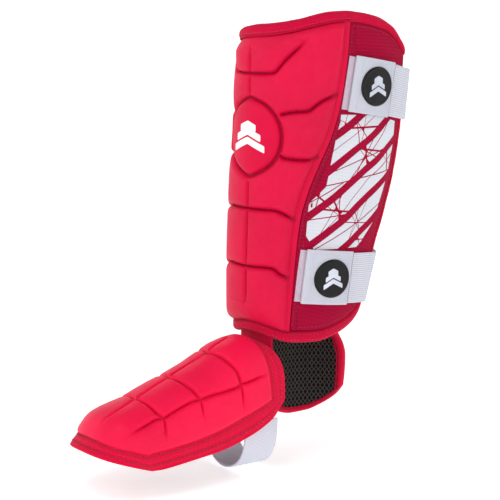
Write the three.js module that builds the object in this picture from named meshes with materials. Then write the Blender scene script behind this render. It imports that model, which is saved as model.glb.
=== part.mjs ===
// Batter's leg guard for the left leg: shin guard with wrap-around wings, two elastic
// straps with hook tabs, a hinged foot guard with its stirrup, and a medial ankle flap.
//
// Units are millimetres. +Z is up the shin, the front of the shin and the toes face -Y,
// and +X is the outer (lateral) side of the leg. The origin is on the leg's axis at the
// level of the shin guard's bottom edge.
//
// The shin guard is laid out on one developable-like surface. A point on it is given by
// s, the arc length round the leg from the front ridge (+ lateral, - medial), by z, and
// by w, the distance outward from the wing's outer face. The foot guard is a dome given
// by a, across from medial edge (-1) to lateral edge (+1), and t, from the instep (0) to
// the toe (1), again with w outward. Every panel is a closed slab between two values of w.
import * as THREE from 'three';
import { mergeVertices } from 'three/addons/utils/BufferGeometryUtils.js';

// ---------------------------------------------------------------- driving dimensions
const GAP = 0.3;              // clearance kept between neighbouring pieces
const EDGE_GAP = 0.9;         // clearance kept inside a bound edge
const PAD_HEIGHT = 8.0;       // moulded pads stand this far above the wing face
const SHELL_BACK = 1.4;       // back face of the moulded shin shell
const FLANGE_FACE = 2.6;      // thin border of the shell next to the wing seam
const PLATE = [-1.3, 0.9];    // stiff plate behind the shell, w range
const FOAM = [-7.7, -1.7];    // impact foam behind the plate
const LINER = [-9.5, -8.25];   // mesh lining against the leg
const WING = [-7.7, 0.0];     // padded printed wing
const LIP_HEIGHT = 11.0;      // bound lower edge
const BINDING_WIDTH = 5.0;    // bound back edges of the wings
const EMBLEM = { s: 0, z: 194, r: 29.0, recess: 37.5, floor: 3.4, top: 8.6 };
const STRAP_WIDTH = 48.0;
const STRAP_THICK = 2.2;
const TAB_THICK = 2.6;
const STRAP_TURN = 22;        // the elastic turns this much more as it leaves the wing, degrees
const BADGE_RADIUS = 17.8;
const BADGE_THICK = 1.7;
const FOOT_YAW = 8 * Math.PI / 180;   // the foot points this far inward
const FOOT_SHELL = [-4.4, 0.0];
const FOOT_PLATE = [-6.4, -4.9];
const FOOT_FOAM = [-11.0, -6.9];
const FOOT_LINER = [-12.7, -11.5];
const FOOT_FLANGE = [-6.2, -2.8];
const STIRRUP_THICK = 1.9;
const FLAP = { cover: [6.0, 7.4], foam: [1.6, 5.7], liner: [0.0, 1.3], bind: [-0.4, 7.8] };

// cross-section of the shin guard at heights Z: ridge y, then two arcs on each side
const Z   = [-30, -20, 0, 20, 45, 70, 95, 120, 145, 170, 195, 220, 245, 270, 295, 315];
const YR  = [-57.8, -57.9, -58.2, -58.8, -59.6, -59.6, -58.9, -57.8, -56.8, -56.0, -55.2, -54.6, -54.2, -54.0, -54.0, -54.0];
const L1  = [33.8, 34.1, 34.9, 36.8, 39.5, 41.7, 43.4, 46.0, 52.5, 62.5, 73.0, 80.0, 84.2, 87.0, 88.5, 89.0];
const FS  = [55, 55, 55, 55, 55, 55.4, 56.3, 57.8, 60.9, 64.8, 68.4, 70.8, 72, 72.3, 72.5, 72.5];
const L2  = [69, 71.1, 77.4, 83.4, 89.1, 93.5, 99, 104.5, 103.5, 97, 88.5, 82.5, 80, 78, 74.3, 73];
const FE  = [112, 112, 111.8, 111.4, 110.9, 110.4, 110, 110, 109.8, 109.1, 107.7, 106.6, 105.6, 104.8, 104.3, 104];
const RM  = [58.5, 58.5, 58.2, 57.6, 57, 57, 57, 56.5, 54, 50.5, 47, 43.5, 40.5, 36, 27, 22];
const L2M = [48, 50, 54, 58, 62, 66, 70, 76, 82, 88, 91, 92, 91, 91, 95, 98];
const MEDIAL_NOSE = 62, MEDIAL_END = 112;
// seam between shell and wing, and the back edges of the wings, by height
const SEAM_M = [60, 60, 60, 60, 60, 61, 62, 63, 66, 70, 74, 76, 77, 78, 78, 78];
const EDGE_L = { z: [-30, 0, 20, 45, 70, 97, 130, 155, 180, 220, 260, 315],
  s: [108, 114, 119.5, 126, 132, 140, 152.5, 160, 163, 163.8, 165.2, 164] };
// lower edge, collar seam and collar top, by arc length round the leg
const BOTTOM = { s: [-140, -118, -110, -100, -80, -60, -40, -23, -6, 6, 16, 24, 31, 46, 65, 75, 87, 98, 108, 115, 120, 126],
  z: [40, 24, 15, 10, 8, 8, 9.5, 12.4, 15.2, 14.9, 12.8, 10.4, 8, 6.3, 5.8, 7.2, 10.2, 13.5, 17.3, 21.5, 26, 36] };
const SEAM_TOP = { s: [-150, -132, -118, -98, -78, -58, -38, -20, -6, 9, 19, 37, 53, 69, 78, 87, 107, 130, 144, 151, 168],
  z: [240, 251, 258.5, 264, 267.5, 271, 275.5, 279, 281, 282, 282.7, 285.5, 289.5, 293.3, 294.8, 294.6, 292.2, 286.6, 278.4, 271.2, 255] };
const COLLAR_TOP = { s: [-150, -132, -118, -98, -78, -58, -38, -20, -6, 9, 20, 37, 53, 69, 82, 96, 117, 138, 153, 168],
  z: [248, 260, 267.5, 273, 276.5, 280.2, 284.8, 288.4, 290.2, 291.7, 292.5, 294.8, 298.5, 302.1, 303, 302.2, 298.6, 290, 276, 262] };
// foot guard dome stations from instep to toe
const FT = [0, 0.10, 0.28, 0.45, 0.62, 0.78, 0.90, 1.0];
const FF = [57, 68, 92, 122, 154, 186, 214, 239];            // forward position of the crest
const FE2 = [44, 61, 90, 118, 144, 166, 180, 189];           // forward position of the edges
const FZ = [10.5, 14, 9, -6, -18, -30, -38.5, -63];          // crest height
const FB = [-44, -62, -72, -77, -79.5, -81.5, -83, -84];     // height of the edges
const FW = [45, 46, 47.5, 49.5, 51, 52, 51.5, 50];           // half width
const CREST_SHIFT = 8, DOME_POWER = 2.35;
const FLAP_PLAN = [[-50, -14], [-52, 4], [-52, 24], [-48.5, 43], [-40, 59], [-28, 69.5], [-13, 75.5]];
const FLAP_TOP = { u: [0, 0.3, 0.5, 0.7, 0.85, 1], z: [1.4, 1.4, 0.5, -3, -6.5, -11] };
const FLAP_BOTTOM = { u: [0, 0.15, 0.35, 0.5, 0.65, 0.8, 0.9, 1], z: [-46, -68, -84, -88.5, -87, -80, -72, -58] };

// ---------------------------------------------------------------- helpers
const rad = d => d * Math.PI / 180;
const clamp = (x, a, b) => Math.min(b, Math.max(a, x));
const lerp = (a, b, t) => a + (b - a) * t;
const smooth = (a, b, x) => { const t = clamp((x - a) / (b - a), 0, 1); return t * t * (3 - 2 * t); };

// shape-preserving cubic through a table
function table(xs, ys) {
  const n = xs.length, h = [], d = [], m = new Array(n).fill(0);
  for (let i = 0; i < n - 1; i++) { h[i] = xs[i + 1] - xs[i]; d[i] = (ys[i + 1] - ys[i]) / h[i]; }
  for (let i = 1; i < n - 1; i++) {
    if (d[i - 1] * d[i] > 0) {
      const w1 = 2 * h[i] + h[i - 1], w2 = h[i] + 2 * h[i - 1];
      m[i] = (w1 + w2) / (w1 / d[i - 1] + w2 / d[i]);
    }
  }
  m[0] = d[0]; m[n - 1] = d[n - 2];
  return x => {
    if (x <= xs[0]) return ys[0] + m[0] * (x - xs[0]);
    if (x >= xs[n - 1]) return ys[n - 1] + m[n - 1] * (x - xs[n - 1]);
    let i = 0; while (x > xs[i + 1]) i++;
    const t = (x - xs[i]) / h[i], t2 = t * t, t3 = t2 * t;
    return (2 * t3 - 3 * t2 + 1) * ys[i] + (t3 - 2 * t2 + t) * h[i] * m[i]
      + (-2 * t3 + 3 * t2) * ys[i + 1] + (t3 - t2) * h[i] * m[i + 1];
  };
}
const yr = table(Z, YR), l1 = table(Z, L1), fs = table(Z, FS), l2 = table(Z, L2), fe = table(Z, FE);
const rm = table(Z, RM), l2m = table(Z, L2M), seamM = table(Z, SEAM_M);
const edgeL = table(EDGE_L.z, EDGE_L.s), bottom = table(BOTTOM.s, BOTTOM.z);
const seamTop = table(SEAM_TOP.s, SEAM_TOP.z), collarTop = table(COLLAR_TOP.s, COLLAR_TOP.z);
const edgeM = z => rm(z) * rad(MEDIAL_NOSE) + l2m(z);

// point on the shin surface
function shin(s, z, w) {
  const side = s < 0 ? -1 : 1, q = Math.abs(s);
  const a1 = rad(side > 0 ? fs(z) : MEDIAL_NOSE), a2 = rad(side > 0 ? fe(z) : MEDIAL_END);
  const len1 = side > 0 ? l1(z) : rm(z) * a1, len2 = side > 0 ? l2(z) : l2m(z);
  const k1 = len1 / a1, k2 = len2 / (a2 - a1);
  let x, y, a;
  if (q <= len1) {
    a = q / k1; x = k1 * Math.sin(a); y = yr(z) + k1 * (1 - Math.cos(a));
  } else {
    a = a1 + (q - len1) / k2;
    x = k1 * Math.sin(a1) + k2 * (Math.sin(a) - Math.sin(a1));
    y = yr(z) + k1 * (1 - Math.cos(a1)) - k2 * (Math.cos(a) - Math.cos(a1));
  }
  return new THREE.Vector3(side * (x + w * Math.sin(a)), y - w * Math.cos(a), z);
}

// closed slab: map(u, v, w) for u, v, w in 0..1
function slab(map, nu, nv, nw = 1) {
  let g = new THREE.BoxGeometry(1, 1, 1, nu, nv, nw);
  g.deleteAttribute('uv'); g.deleteAttribute('normal');
  const p = g.attributes.position;
  for (let i = 0; i < p.count; i++) {
    const v = map(p.getX(i) + 0.5, p.getY(i) + 0.5, p.getZ(i) + 0.5);
    p.setXYZ(i, v.x, v.y, v.z);
  }
  return finish(g);
}
// closed ring: map(u, v, w) with u going round once
function ring(map, nu, nv) {
  const pos = [], idx = [], cols = [];
  for (let j = 0; j <= nv; j++) cols.push([j / nv, 1]);
  for (let j = nv; j >= 0; j--) cols.push([j / nv, 0]);
  const m = cols.length;
  for (let i = 0; i < nu; i++) for (const [v, w] of cols) {
    const q = map(i / nu, v, w); pos.push(q.x, q.y, q.z);
  }
  for (let i = 0; i < nu; i++) for (let j = 0; j < m; j++) {
    const a = i * m + j, b = i * m + (j + 1) % m, c = ((i + 1) % nu) * m + (j + 1) % m, d = ((i + 1) % nu) * m + j;
    idx.push(a, b, c, a, c, d);
  }
  const g = new THREE.BufferGeometry();
  g.setAttribute('position', new THREE.Float32BufferAttribute(pos, 3)); g.setIndex(idx);
  return finish(g);
}
function finish(g) {
  g = mergeVertices(g, 1e-3);
  const p = g.attributes.position, ix = g.index.array;
  const a = new THREE.Vector3(), b = new THREE.Vector3(), c = new THREE.Vector3();
  let vol = 0;
  for (let i = 0; i < ix.length; i += 3) {
    a.fromBufferAttribute(p, ix[i]); b.fromBufferAttribute(p, ix[i + 1]); c.fromBufferAttribute(p, ix[i + 2]);
    vol += a.dot(b.cross(c));
  }
  if (vol < 0) for (let i = 0; i < ix.length; i += 3) { const t = ix[i]; ix[i] = ix[i + 1]; ix[i + 1] = t; }
  g.computeVertexNormals();
  return g;
}
const group = new THREE.Group();
group.name = 'leg_guard';
function add(name, geometry, color, roughness = 0.7) {
  const m = new THREE.Mesh(geometry, new THREE.MeshStandardMaterial({ color, roughness, metalness: 0 }));
  m.name = name; group.add(m); return m;
}

// ---------------------------------------------------------------- colours
const RED = 0xe82652, DEEP = 0xb00d40, COLLAR = 0xe02653, WHITE = 0xd6d8e2, BLACK = 0x23201f;
const FOAM_GREY = 0x4a4a4d, PLATE_GREY = 0x2c2d30, FLANGE = 0xe92f56;

// s and z of a panel point, both edges curved, by a short fixed-point iteration
function place(u, v, sLo, sHi, zLo, zHi) {
  let z = lerp(30, 280, v), s = 0;
  for (let i = 0; i < 8; i++) { s = lerp(sLo(z), sHi(z), u); z = lerp(zLo(s), zHi(s), v); }
  return [s, z];
}
const panel = (sLo, sHi, zLo, zHi, w0, w1, nu, nv) => slab((u, v, w) => {
  const [s, z] = place(u, v, sLo, sHi, zLo, zHi);
  const lo = typeof w0 === 'function' ? w0(s, z) : w0, hi = typeof w1 === 'function' ? w1(s, z) : w1;
  return shin(s, z, lerp(lo, hi, w));
}, nu, nv);
const overLip = s => bottom(s) + LIP_HEIGHT + 0.7 + 1.2 * smooth(95, 112, s);
const underCollar = s => seamTop(s) - GAP;

// ---------------------------------------------------------------- shin guard
// moulded shell: pads stand proud, a bevel runs down to the seam, a round seat holds the emblem
const bevel = z => lerp(3.5, 13, smooth(125, 160, z));
function padFace(s, z) {
  const edge = s > 0 ? l1(z) - 6 - s : seamM(z) - 6 + s;
  let w = lerp(FLANGE_FACE, PAD_HEIGHT, smooth(-1, bevel(z), edge));
  const low = z - overLip(s), high = underCollar(s) - z;
  w = lerp(FLANGE_FACE + 1.5, w, smooth(0, 7, Math.min(low, high)));
  const r = Math.hypot(s - EMBLEM.s, z - EMBLEM.z);
  return Math.min(w, lerp(EMBLEM.floor, PAD_HEIGHT, smooth(EMBLEM.recess, EMBLEM.recess + 5, r)));
}
add('shin_shell', panel(z => -seamM(z) + GAP / 2, z => l1(z) - GAP / 2, overLip, underCollar, SHELL_BACK, padFace, 20, 26), RED, 0.55);
add('shin_plate', panel(z => -seamM(z) + 7, z => l1(z) - 7, s => overLip(s) + 4, s => underCollar(s) - 4, PLATE[0], PLATE[1], 20, 14), PLATE_GREY, 0.5);
add('shin_foam', panel(z => -seamM(z) + GAP / 2, z => l1(z) - GAP / 2, overLip, underCollar, FOAM[0], FOAM[1], 20, 14), FOAM_GREY, 0.9);
add('shin_liner', panel(z => -edgeM(z) + BINDING_WIDTH + EDGE_GAP, z => edgeL(z) - BINDING_WIDTH - EDGE_GAP, overLip, underCollar, LINER[0], LINER[1], 36, 8), BLACK, 0.95);
// emblem: a shallow round disc in the seat
add('emblem_disc', slab((u, v, w) => {
  const x = 2 * u - 1, y = 2 * v - 1;
  const s = EMBLEM.r * x * Math.sqrt(1 - y * y / 2), z = EMBLEM.r * y * Math.sqrt(1 - x * x / 2);
  const edge = smooth(0, 5, EMBLEM.r - Math.hypot(s, z));
  return shin(EMBLEM.s + s, EMBLEM.z + z, lerp(EMBLEM.floor + GAP + 0.1, EMBLEM.top - 2.2 * (1 - edge), w));
}, 8, 8), RED, 0.5);
// collar rolled over the top edge
function roll(v, w, width, face, back) {
  const x = 2 * v - 1, y = 2 * w - 1;
  return [0.5 * width * x * Math.sqrt(1 - 0.32 * y * y), 0.5 * (face - back) * y * Math.sqrt(1 - 0.32 * x * x) + 0.5 * (face + back)];
}
add('top_collar', slab((u, v, w) => {
  const s = lerp(-edgeM(252) + 1, 163, u);
  const lo = seamTop(s), hi = collarTop(s);
  const front = smooth(-seamM(290) - 12, -seamM(290) + 14, s) * (1 - smooth(l1(290) - 14, l1(290) + 12, s));
  const [dz, ww] = roll(v, w, hi - lo, lerp(1.6, 5.6, front), LINER[0] - 0.4);
  return shin(s, (lo + hi) / 2 + dz, ww);
}, 30, 2, 2), COLLAR, 0.7);
// bound lower edge
add('bottom_lip', slab((u, v, w) => {
  let z = 20, s = 0;
  for (let i = 0; i < 8; i++) { s = lerp(-edgeM(z) + 0.5, Math.min(edgeL(z), 124.5), u); z = bottom(s) + LIP_HEIGHT * v; }
  const front = smooth(-66, -54, s) * (1 - smooth(36, 48, s));
  const [dz, ww] = roll(v, w, LIP_HEIGHT, lerp(0.4, 1.6, front), LINER[0] - 0.4);
  return shin(s, bottom(s) + LIP_HEIGHT / 2 + dz, ww);
}, 30, 2, 2), COLLAR, 0.7);
// wings and their bound back edges
add('lateral_wing', panel(z => l1(z) + GAP / 2, z => edgeL(z) - BINDING_WIDTH - EDGE_GAP, overLip, underCollar, WING[0], WING[1], 10, 14), DEEP, 0.85);
add('medial_wing', panel(z => -edgeM(z) + BINDING_WIDTH + EDGE_GAP, z => -seamM(z) - GAP / 2, overLip, underCollar, WING[0], WING[1], 8, 14), DEEP, 0.85);
const strip = (edge, sgn, zLo, zHi) => slab((u, v, w) => {
  const z = lerp(zLo, zHi, v);
  const [ds, ww] = roll(u, w, BINDING_WIDTH, 0.5, LINER[0] - 0.4);
  return shin(sgn * (edge(z) - BINDING_WIDTH / 2) + ds, z, ww);
}, 1, 20, 2);
add('lateral_edge_binding', strip(edgeL, 1, 48.2, 250), COLLAR, 0.8);
add('medial_edge_binding', strip(edgeM, -1, 41.5, 243), COLLAR, 0.8);

// ---------------------------------------------------------------- straps
// each strap lies on the lateral wing, crosses behind the calf and ends on the medial wing
const STRAPS = {
  upper: { z0: 240.4, s0: 91, slope: -0.165, fold: 91, tabEnd: 136.5, patch: 85.5, badge: [117.0, 237.0], zBack: 227.5 },
  lower: { z0: 68.7, s0: 50, slope: -0.115, fold: 50, tabEnd: 96.5, patch: 44.5, badge: [76.6, 65.2], zBack: 59.6 },
};
const half = STRAP_WIDTH / 2;
for (const [key, c] of Object.entries(STRAPS)) {
  const lean = key === 'upper' ? 0.075 : 0.06;      // the folded end leans with the strap
  const line = s => c.z0 + c.slope * (s - c.s0);
  const onWing = (s, k, hw, w) => { const dz = k * hw; return shin(s + lean * dz * 2, line(s) + dz, w); };
  add(`${key}_loop_patch`, slab((u, v, w) => onWing(lerp(c.patch, c.tabEnd - 4, u), 2 * v - 1, half - 0.6, lerp(GAP, 1.5, w)), 8, 4), WHITE, 0.95);
  add(`${key}_hook_tab`, slab((u, v, w) => onWing(lerp(c.fold, c.tabEnd, u), 2 * v - 1, half + 0.6, lerp(1.8, 1.8 + TAB_THICK, w)), 8, 3), WHITE, 0.6);
  add(`${key}_badge`, slab((u, v, w) => {
    const x = 2 * u - 1, y = 2 * v - 1;
    return shin(c.badge[0] + BADGE_RADIUS * x * Math.sqrt(1 - y * y / 2), c.badge[1] + BADGE_RADIUS * y * Math.sqrt(1 - x * x / 2),
      lerp(1.8 + TAB_THICK + GAP, 1.8 + TAB_THICK + GAP + BADGE_THICK, w));
  }, 6, 6), 0x17171a, 0.5);
  // elastic: along the wing to its back edge, then a free sweep behind the calf
  const zb = c.zBack, hw = half - 0.8;
  const sweeps = [-1, 0, 1].map(k => {
    const z = zb + k * hw, e0 = shin(edgeL(z) + 1, z, 0), e1 = shin(edgeL(z) + 3, z, 0);
    const m0 = shin(-edgeM(z) - 2.2, z, 0), m1 = shin(-edgeM(z) - 4.2, z, 0);
    const d0 = e1.clone().sub(e0).setZ(0).normalize().applyAxisAngle(new THREE.Vector3(0, 0, 1), rad(STRAP_TURN));
    const d1 = m1.clone().sub(m0).setZ(0).normalize(), span = e0.distanceTo(m0) * 0.42;
    return new THREE.CubicBezierCurve3(e0, e0.clone().addScaledVector(d0, span), m0.clone().addScaledVector(d1, span), m0);
  });
  const start = c.tabEnd + 0.8, wingLen = edgeL(zb) + 1 - start, freeLen = sweeps[1].getLength(), total = wingLen + freeLen;
  add(`${key}_strap_elastic`, slab((u, v, w) => {
    const d = u * total, k = 2 * v - 1;
    if (d <= wingLen) {
      const f = d / wingLen, z = lerp(line(start) + k * hw, zb + k * hw, f), lo = lerp(1.9, 0.9, smooth(0.1, 0.7, f));
      return shin(lerp(start + 2 * lean * k * hw, edgeL(z) + 1, f), z, lerp(lo, lo + STRAP_THICK, w));
    }
    const t = clamp((d - wingLen) / freeLen, 0, 1), i = k < 0 ? 0 : 1, m = k < 0 ? k + 1 : k;
    const p = sweeps[i].getPointAt(t).lerp(sweeps[i + 1].getPointAt(t), m);
    const q = sweeps[i].getTangentAt(t).lerp(sweeps[i + 1].getTangentAt(t), m);
    return p.addScaledVector(new THREE.Vector3(q.y, -q.x, 0).normalize(), lerp(0.9, 0.9 + STRAP_THICK, w));
  }, 28, 2), WHITE, 0.9);
  // sewn anchor on the medial wing
  add(`${key}_strap_anchor`, slab((u, v, w) => {
    const z = zb + (2 * v - 1) * hw;
    return shin(-lerp(edgeM(zb) - 38, edgeM(z) - 1.8, u), z, lerp(0.9, 0.9 + STRAP_THICK, w));
  }, 6, 2), WHITE, 0.9);
}

// ---------------------------------------------------------------- foot guard
const ff = table(FT, FF), fe2 = table(FT, FE2), fz = table(FT, FZ), fb = table(FT, FB), fw = table(FT, FW);
const ACROSS = new THREE.Vector3(Math.cos(FOOT_YAW), -Math.sin(FOOT_YAW), 0);
const FORWARD = new THREE.Vector3(-Math.sin(FOOT_YAW), -Math.cos(FOOT_YAW), 0);
const footAt = (l, f, z) => new THREE.Vector3(0, 0, z).addScaledVector(ACROSS, l).addScaledVector(FORWARD, f);
function dome0(a, t) {
  const th = a * Math.PI / 2, e = 2 / DOME_POWER;
  const s = Math.sign(th) * Math.pow(Math.abs(Math.sin(th)), e), h = Math.pow(Math.max(0, Math.cos(th)), e), q = Math.min(1, Math.abs(s));
  const k = clamp((t - 0.45) / 0.55, 0, 1), n = 2 + 0.4 * k, mix = 0.35 + 0.65 * k;
  const m = lerp(1.0, 2.2, smooth(0, 0.2, t));
  const g = (1 - Math.pow(1 - Math.pow(q, n), 1 / n)) * mix + Math.pow(q, m) * (1 - mix);
  return footAt(CREST_SHIFT * h * Math.sin(Math.PI * h / 2) + fw(t) * s, ff(t) - (ff(t) - fe2(t)) * g, fb(t) + (fz(t) - fb(t)) * h);
}
function dome(a, t, w) {
  const e = 0.012, a0 = clamp(a - e, -1, 1), a1 = clamp(a + e, -1, 1), t0 = clamp(t - e, 0, 1), t1 = clamp(t + e, 0, 1);
  const n = dome0(a1, t).sub(dome0(a0, t)).cross(dome0(a, t1).sub(dome0(a, t0))).normalize();
  // inside the toe and the edges the layers crowd, so the normal leans to the dome's own middle
  if (n.dot(dome0(a, t).sub(footAt(0, 110, -90))) < 0) n.negate();
  return dome0(a, t).addScaledVector(n, w);
}
// square to dome with the two rear corners rounded
function corner(A, B, k = 0.05) {
  const kk = B < 0 ? k : 0;
  return [A * Math.sqrt(1 - kk * B * B), (B * Math.sqrt(1 - kk * A * A) + 1) / 2];
}
const footSlab = (A, B0, B1, w0, w1, nu, nv, wf) => slab((u, v, w) => {
  const x = Math.sin(1.2 * (2 * u - 1)) / Math.sin(1.2);
  const [a, t] = corner(A * x, lerp(B0, B1, v));
  return dome(a, t, lerp(w0, wf ? wf(x, lerp(-1, 1, v), w1) : w1, w));
}, nu, nv);
const softEdge = (x, y, top) => top - 2.6 * (1 - smooth(0, 0.14, 1 - Math.max(Math.abs(x), Math.abs(y))));
add('foot_shell', footSlab(0.885, -0.80, 0.935, FOOT_SHELL[0], FOOT_SHELL[1], 14, 14, softEdge), RED, 0.5);
add('foot_plate', footSlab(0.80, -0.72, 0.80, FOOT_PLATE[0], FOOT_PLATE[1], 14, 12), PLATE_GREY, 0.5);
add('foot_foam', footSlab(0.84, -0.76, 0.86, FOOT_FOAM[0], FOOT_FOAM[1], 14, 12), FOAM_GREY, 0.9);
add('foot_liner', footSlab(0.86, -0.78, 0.87, FOOT_LINER[0], FOOT_LINER[1], 14, 12), BLACK, 0.95);
// stitched flange all round the shell
add('foot_flange', ring((u, v, w) => {
  const q = u * 4, k = Math.floor(q), c = 2 * (q - k) - 1, r = k % 2 ? Math.sin(1.3 * c) / Math.sin(1.3) : c;
  const [X, Y] = k === 0 ? [1, r] : k === 1 ? [-r, 1] : k === 2 ? [-1, -r] : [r, -1];
  const A = X * lerp(1, 0.895, v), B = Y > 0 ? Y * lerp(1, 0.945, v) : Y * lerp(1, 0.815, v);
  const [a, t] = corner(A, B);
  return dome(a, t, lerp(FOOT_FLANGE[0], FOOT_FLANGE[1], w));
}, 56, 1), FLANGE, 0.8);
// elastic tab between the flange and the shin guard's lip, on the hinge line
add('instep_tab', slab((u, v, w) => {
  const l = lerp(-24, 24, u), sag = l * l;
  return footAt(l, lerp(48, 50.6, w) - 0.004 * sag, lerp(1, 12, v) - 0.0062 * sag);
}, 8, 2), BLACK, 0.9);

// stirrup: webbing that passes under the sole
const STIRRUP_PATH = [[-36.0, -60], [-34.6, -76], [-28, -91], [-16, -102.5], [-2, -107.5], [12, -105.5], [24, -98.5], [31.6, -88], [35, -76], [36.1, -60]];
const stirrupCurve = new THREE.CatmullRomCurve3(STIRRUP_PATH.map(p => new THREE.Vector3(p[0], p[1], 0)));
add('stirrup_strap', slab((u, v, w) => {
  const p = stirrupCurve.getPointAt(clamp(u, 0, 1)), q = stirrupCurve.getTangentAt(clamp(u, 0, 1));
  const n = new THREE.Vector3(q.y, -q.x, 0);
  return footAt(p.x + n.x * STIRRUP_THICK * (w - 0.5), lerp(49.5, 85.5, v), p.y + n.y * STIRRUP_THICK * (w - 0.5));
}, 30, 2), WHITE, 0.85);
for (const [name, sx] of [['stirrup_anchor_lateral', 1], ['stirrup_anchor_medial', -1]]) {
  add(name, slab((u, v, w) => footAt(sx * lerp(37.5, 38.7, w), lerp(60, 84.5, u), lerp(-61, -49, v)), 3, 2), WHITE, 0.85);
}

// ---------------------------------------------------------------- ankle flap
const flapCurve = new THREE.CatmullRomCurve3(FLAP_PLAN.map(p => new THREE.Vector3(p[0], p[1], 0)));
const flapTop = table(FLAP_TOP.u, FLAP_TOP.z), flapBottom = table(FLAP_BOTTOM.u, FLAP_BOTTOM.z);
function flapAt(A, B, w) {                       // A, B in -1..1 on a rounded square
  const k = B > 0 ? 0.08 : 0.42, a = A * Math.sqrt(1 - k * B * B), b = B * Math.sqrt(1 - k * A * A), u = (a + 1) / 2;
  const p = flapCurve.getPointAt(clamp(u, 0, 1)), q = flapCurve.getTangentAt(clamp(u, 0, 1));
  const n = new THREE.Vector3(-q.y, q.x, 0).normalize(), hi = flapTop(u), lo = flapBottom(u);
  return new THREE.Vector3(p.x, p.y, lerp(lo, hi, (b + 1) / 2)).addScaledVector(n, w);
}
const flapSlab = (k, w0, w1, nu, nv) => slab((u, v, w) => flapAt(k * (2 * u - 1), k * (2 * v - 1), lerp(w0, w1, w)), nu, nv);
add('ankle_flap_cover', flapSlab(0.88, FLAP.cover[0], FLAP.cover[1], 10, 8), RED, 0.75);
add('ankle_flap_foam', flapSlab(0.88, FLAP.foam[0], FLAP.foam[1], 10, 8), FOAM_GREY, 0.9);
add('ankle_flap_liner', flapSlab(0.88, FLAP.liner[0], FLAP.liner[1], 10, 8), BLACK, 0.95);
add('ankle_flap_binding', ring((u, v, w) => {
  const q = u * 4, k = Math.floor(q), r = 2 * (q - k) - 1, e = lerp(1, 0.895, v);
  const [X, Y] = k === 0 ? [1, r] : k === 1 ? [-r, 1] : k === 2 ? [-1, -r] : [r, -1];
  return flapAt(X * e, Y * e, lerp(FLAP.bind[0], FLAP.bind[1], w));
}, 56, 1), COLLAR, 0.8);
// web that sews the flap to the shin guard's medial lower edge, on the hinge line
add('ankle_flap_web', slab((u, v, w) => {
  const y = lerp(-10, 24, u), x = lerp(-57, -54, w);
  return new THREE.Vector3(x, y, lerp(1.9, 6.6, v));
}, 6, 1), COLLAR, 0.8);

export default group;
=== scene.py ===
# Looks of the batter's leg guard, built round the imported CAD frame. Lengths are millimetres until a mesh is made.
import math

import bmesh
import bpy
import numpy as np
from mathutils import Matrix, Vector
from mathutils.bvhtree import BVHTree


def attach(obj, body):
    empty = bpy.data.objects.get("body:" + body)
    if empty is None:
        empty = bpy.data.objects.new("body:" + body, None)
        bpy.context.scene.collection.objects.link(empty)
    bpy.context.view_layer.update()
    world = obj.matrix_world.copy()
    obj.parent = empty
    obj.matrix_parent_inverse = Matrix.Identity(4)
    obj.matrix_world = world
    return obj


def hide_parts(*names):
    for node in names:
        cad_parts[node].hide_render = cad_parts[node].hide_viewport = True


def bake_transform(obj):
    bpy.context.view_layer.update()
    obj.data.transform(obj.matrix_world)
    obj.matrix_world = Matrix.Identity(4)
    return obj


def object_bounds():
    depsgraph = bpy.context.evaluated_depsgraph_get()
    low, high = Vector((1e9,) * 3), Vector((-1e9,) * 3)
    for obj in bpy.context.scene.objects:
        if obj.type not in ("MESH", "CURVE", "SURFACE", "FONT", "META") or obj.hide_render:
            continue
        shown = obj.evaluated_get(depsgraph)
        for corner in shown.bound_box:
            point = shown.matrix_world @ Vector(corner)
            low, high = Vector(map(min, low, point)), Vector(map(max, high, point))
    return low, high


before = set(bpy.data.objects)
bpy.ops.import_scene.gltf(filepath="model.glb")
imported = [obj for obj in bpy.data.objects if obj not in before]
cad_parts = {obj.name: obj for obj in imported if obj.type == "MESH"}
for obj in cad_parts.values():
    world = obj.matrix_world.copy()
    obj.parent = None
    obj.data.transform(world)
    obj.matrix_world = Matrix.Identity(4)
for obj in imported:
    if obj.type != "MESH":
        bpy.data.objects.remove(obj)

CAD_LO, CAD_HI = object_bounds()
RNG = np.random.default_rng(7)

# ---------------------------------------------------------------- surfaces, in millimetres (as in the CAD source)
def table(xs, ys):
    xs = np.array(xs, float); ys = np.array(ys, float)
    h = np.diff(xs); d = np.diff(ys) / h
    m = np.zeros(len(xs))
    for i in range(1, len(xs) - 1):
        if d[i - 1] * d[i] > 0:
            w1 = 2 * h[i] + h[i - 1]; w2 = h[i] + 2 * h[i - 1]
            m[i] = (w1 + w2) / (w1 / d[i - 1] + w2 / d[i])
    m[0] = d[0]; m[-1] = d[-1]

    def f(x):
        x = np.asarray(x, float)
        i = np.clip(np.searchsorted(xs, x, side="right") - 1, 0, len(xs) - 2)
        t = (x - xs[i]) / h[i]
        t2, t3 = t * t, t * t * t
        y = (2 * t3 - 3 * t2 + 1) * ys[i] + (t3 - 2 * t2 + t) * h[i] * m[i] + (-2 * t3 + 3 * t2) * ys[i + 1] + (t3 - t2) * h[i] * m[i + 1]
        y = np.where(x <= xs[0], ys[0] + m[0] * (x - xs[0]), y)
        return np.where(x >= xs[-1], ys[-1] + m[-1] * (x - xs[-1]), y)
    return f


def lerp(a, b, t):
    return a + (b - a) * t


def smooth(a, b, x):
    t = np.clip((np.asarray(x, float) - a) / (b - a), 0, 1)
    return t * t * (3 - 2 * t)


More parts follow.
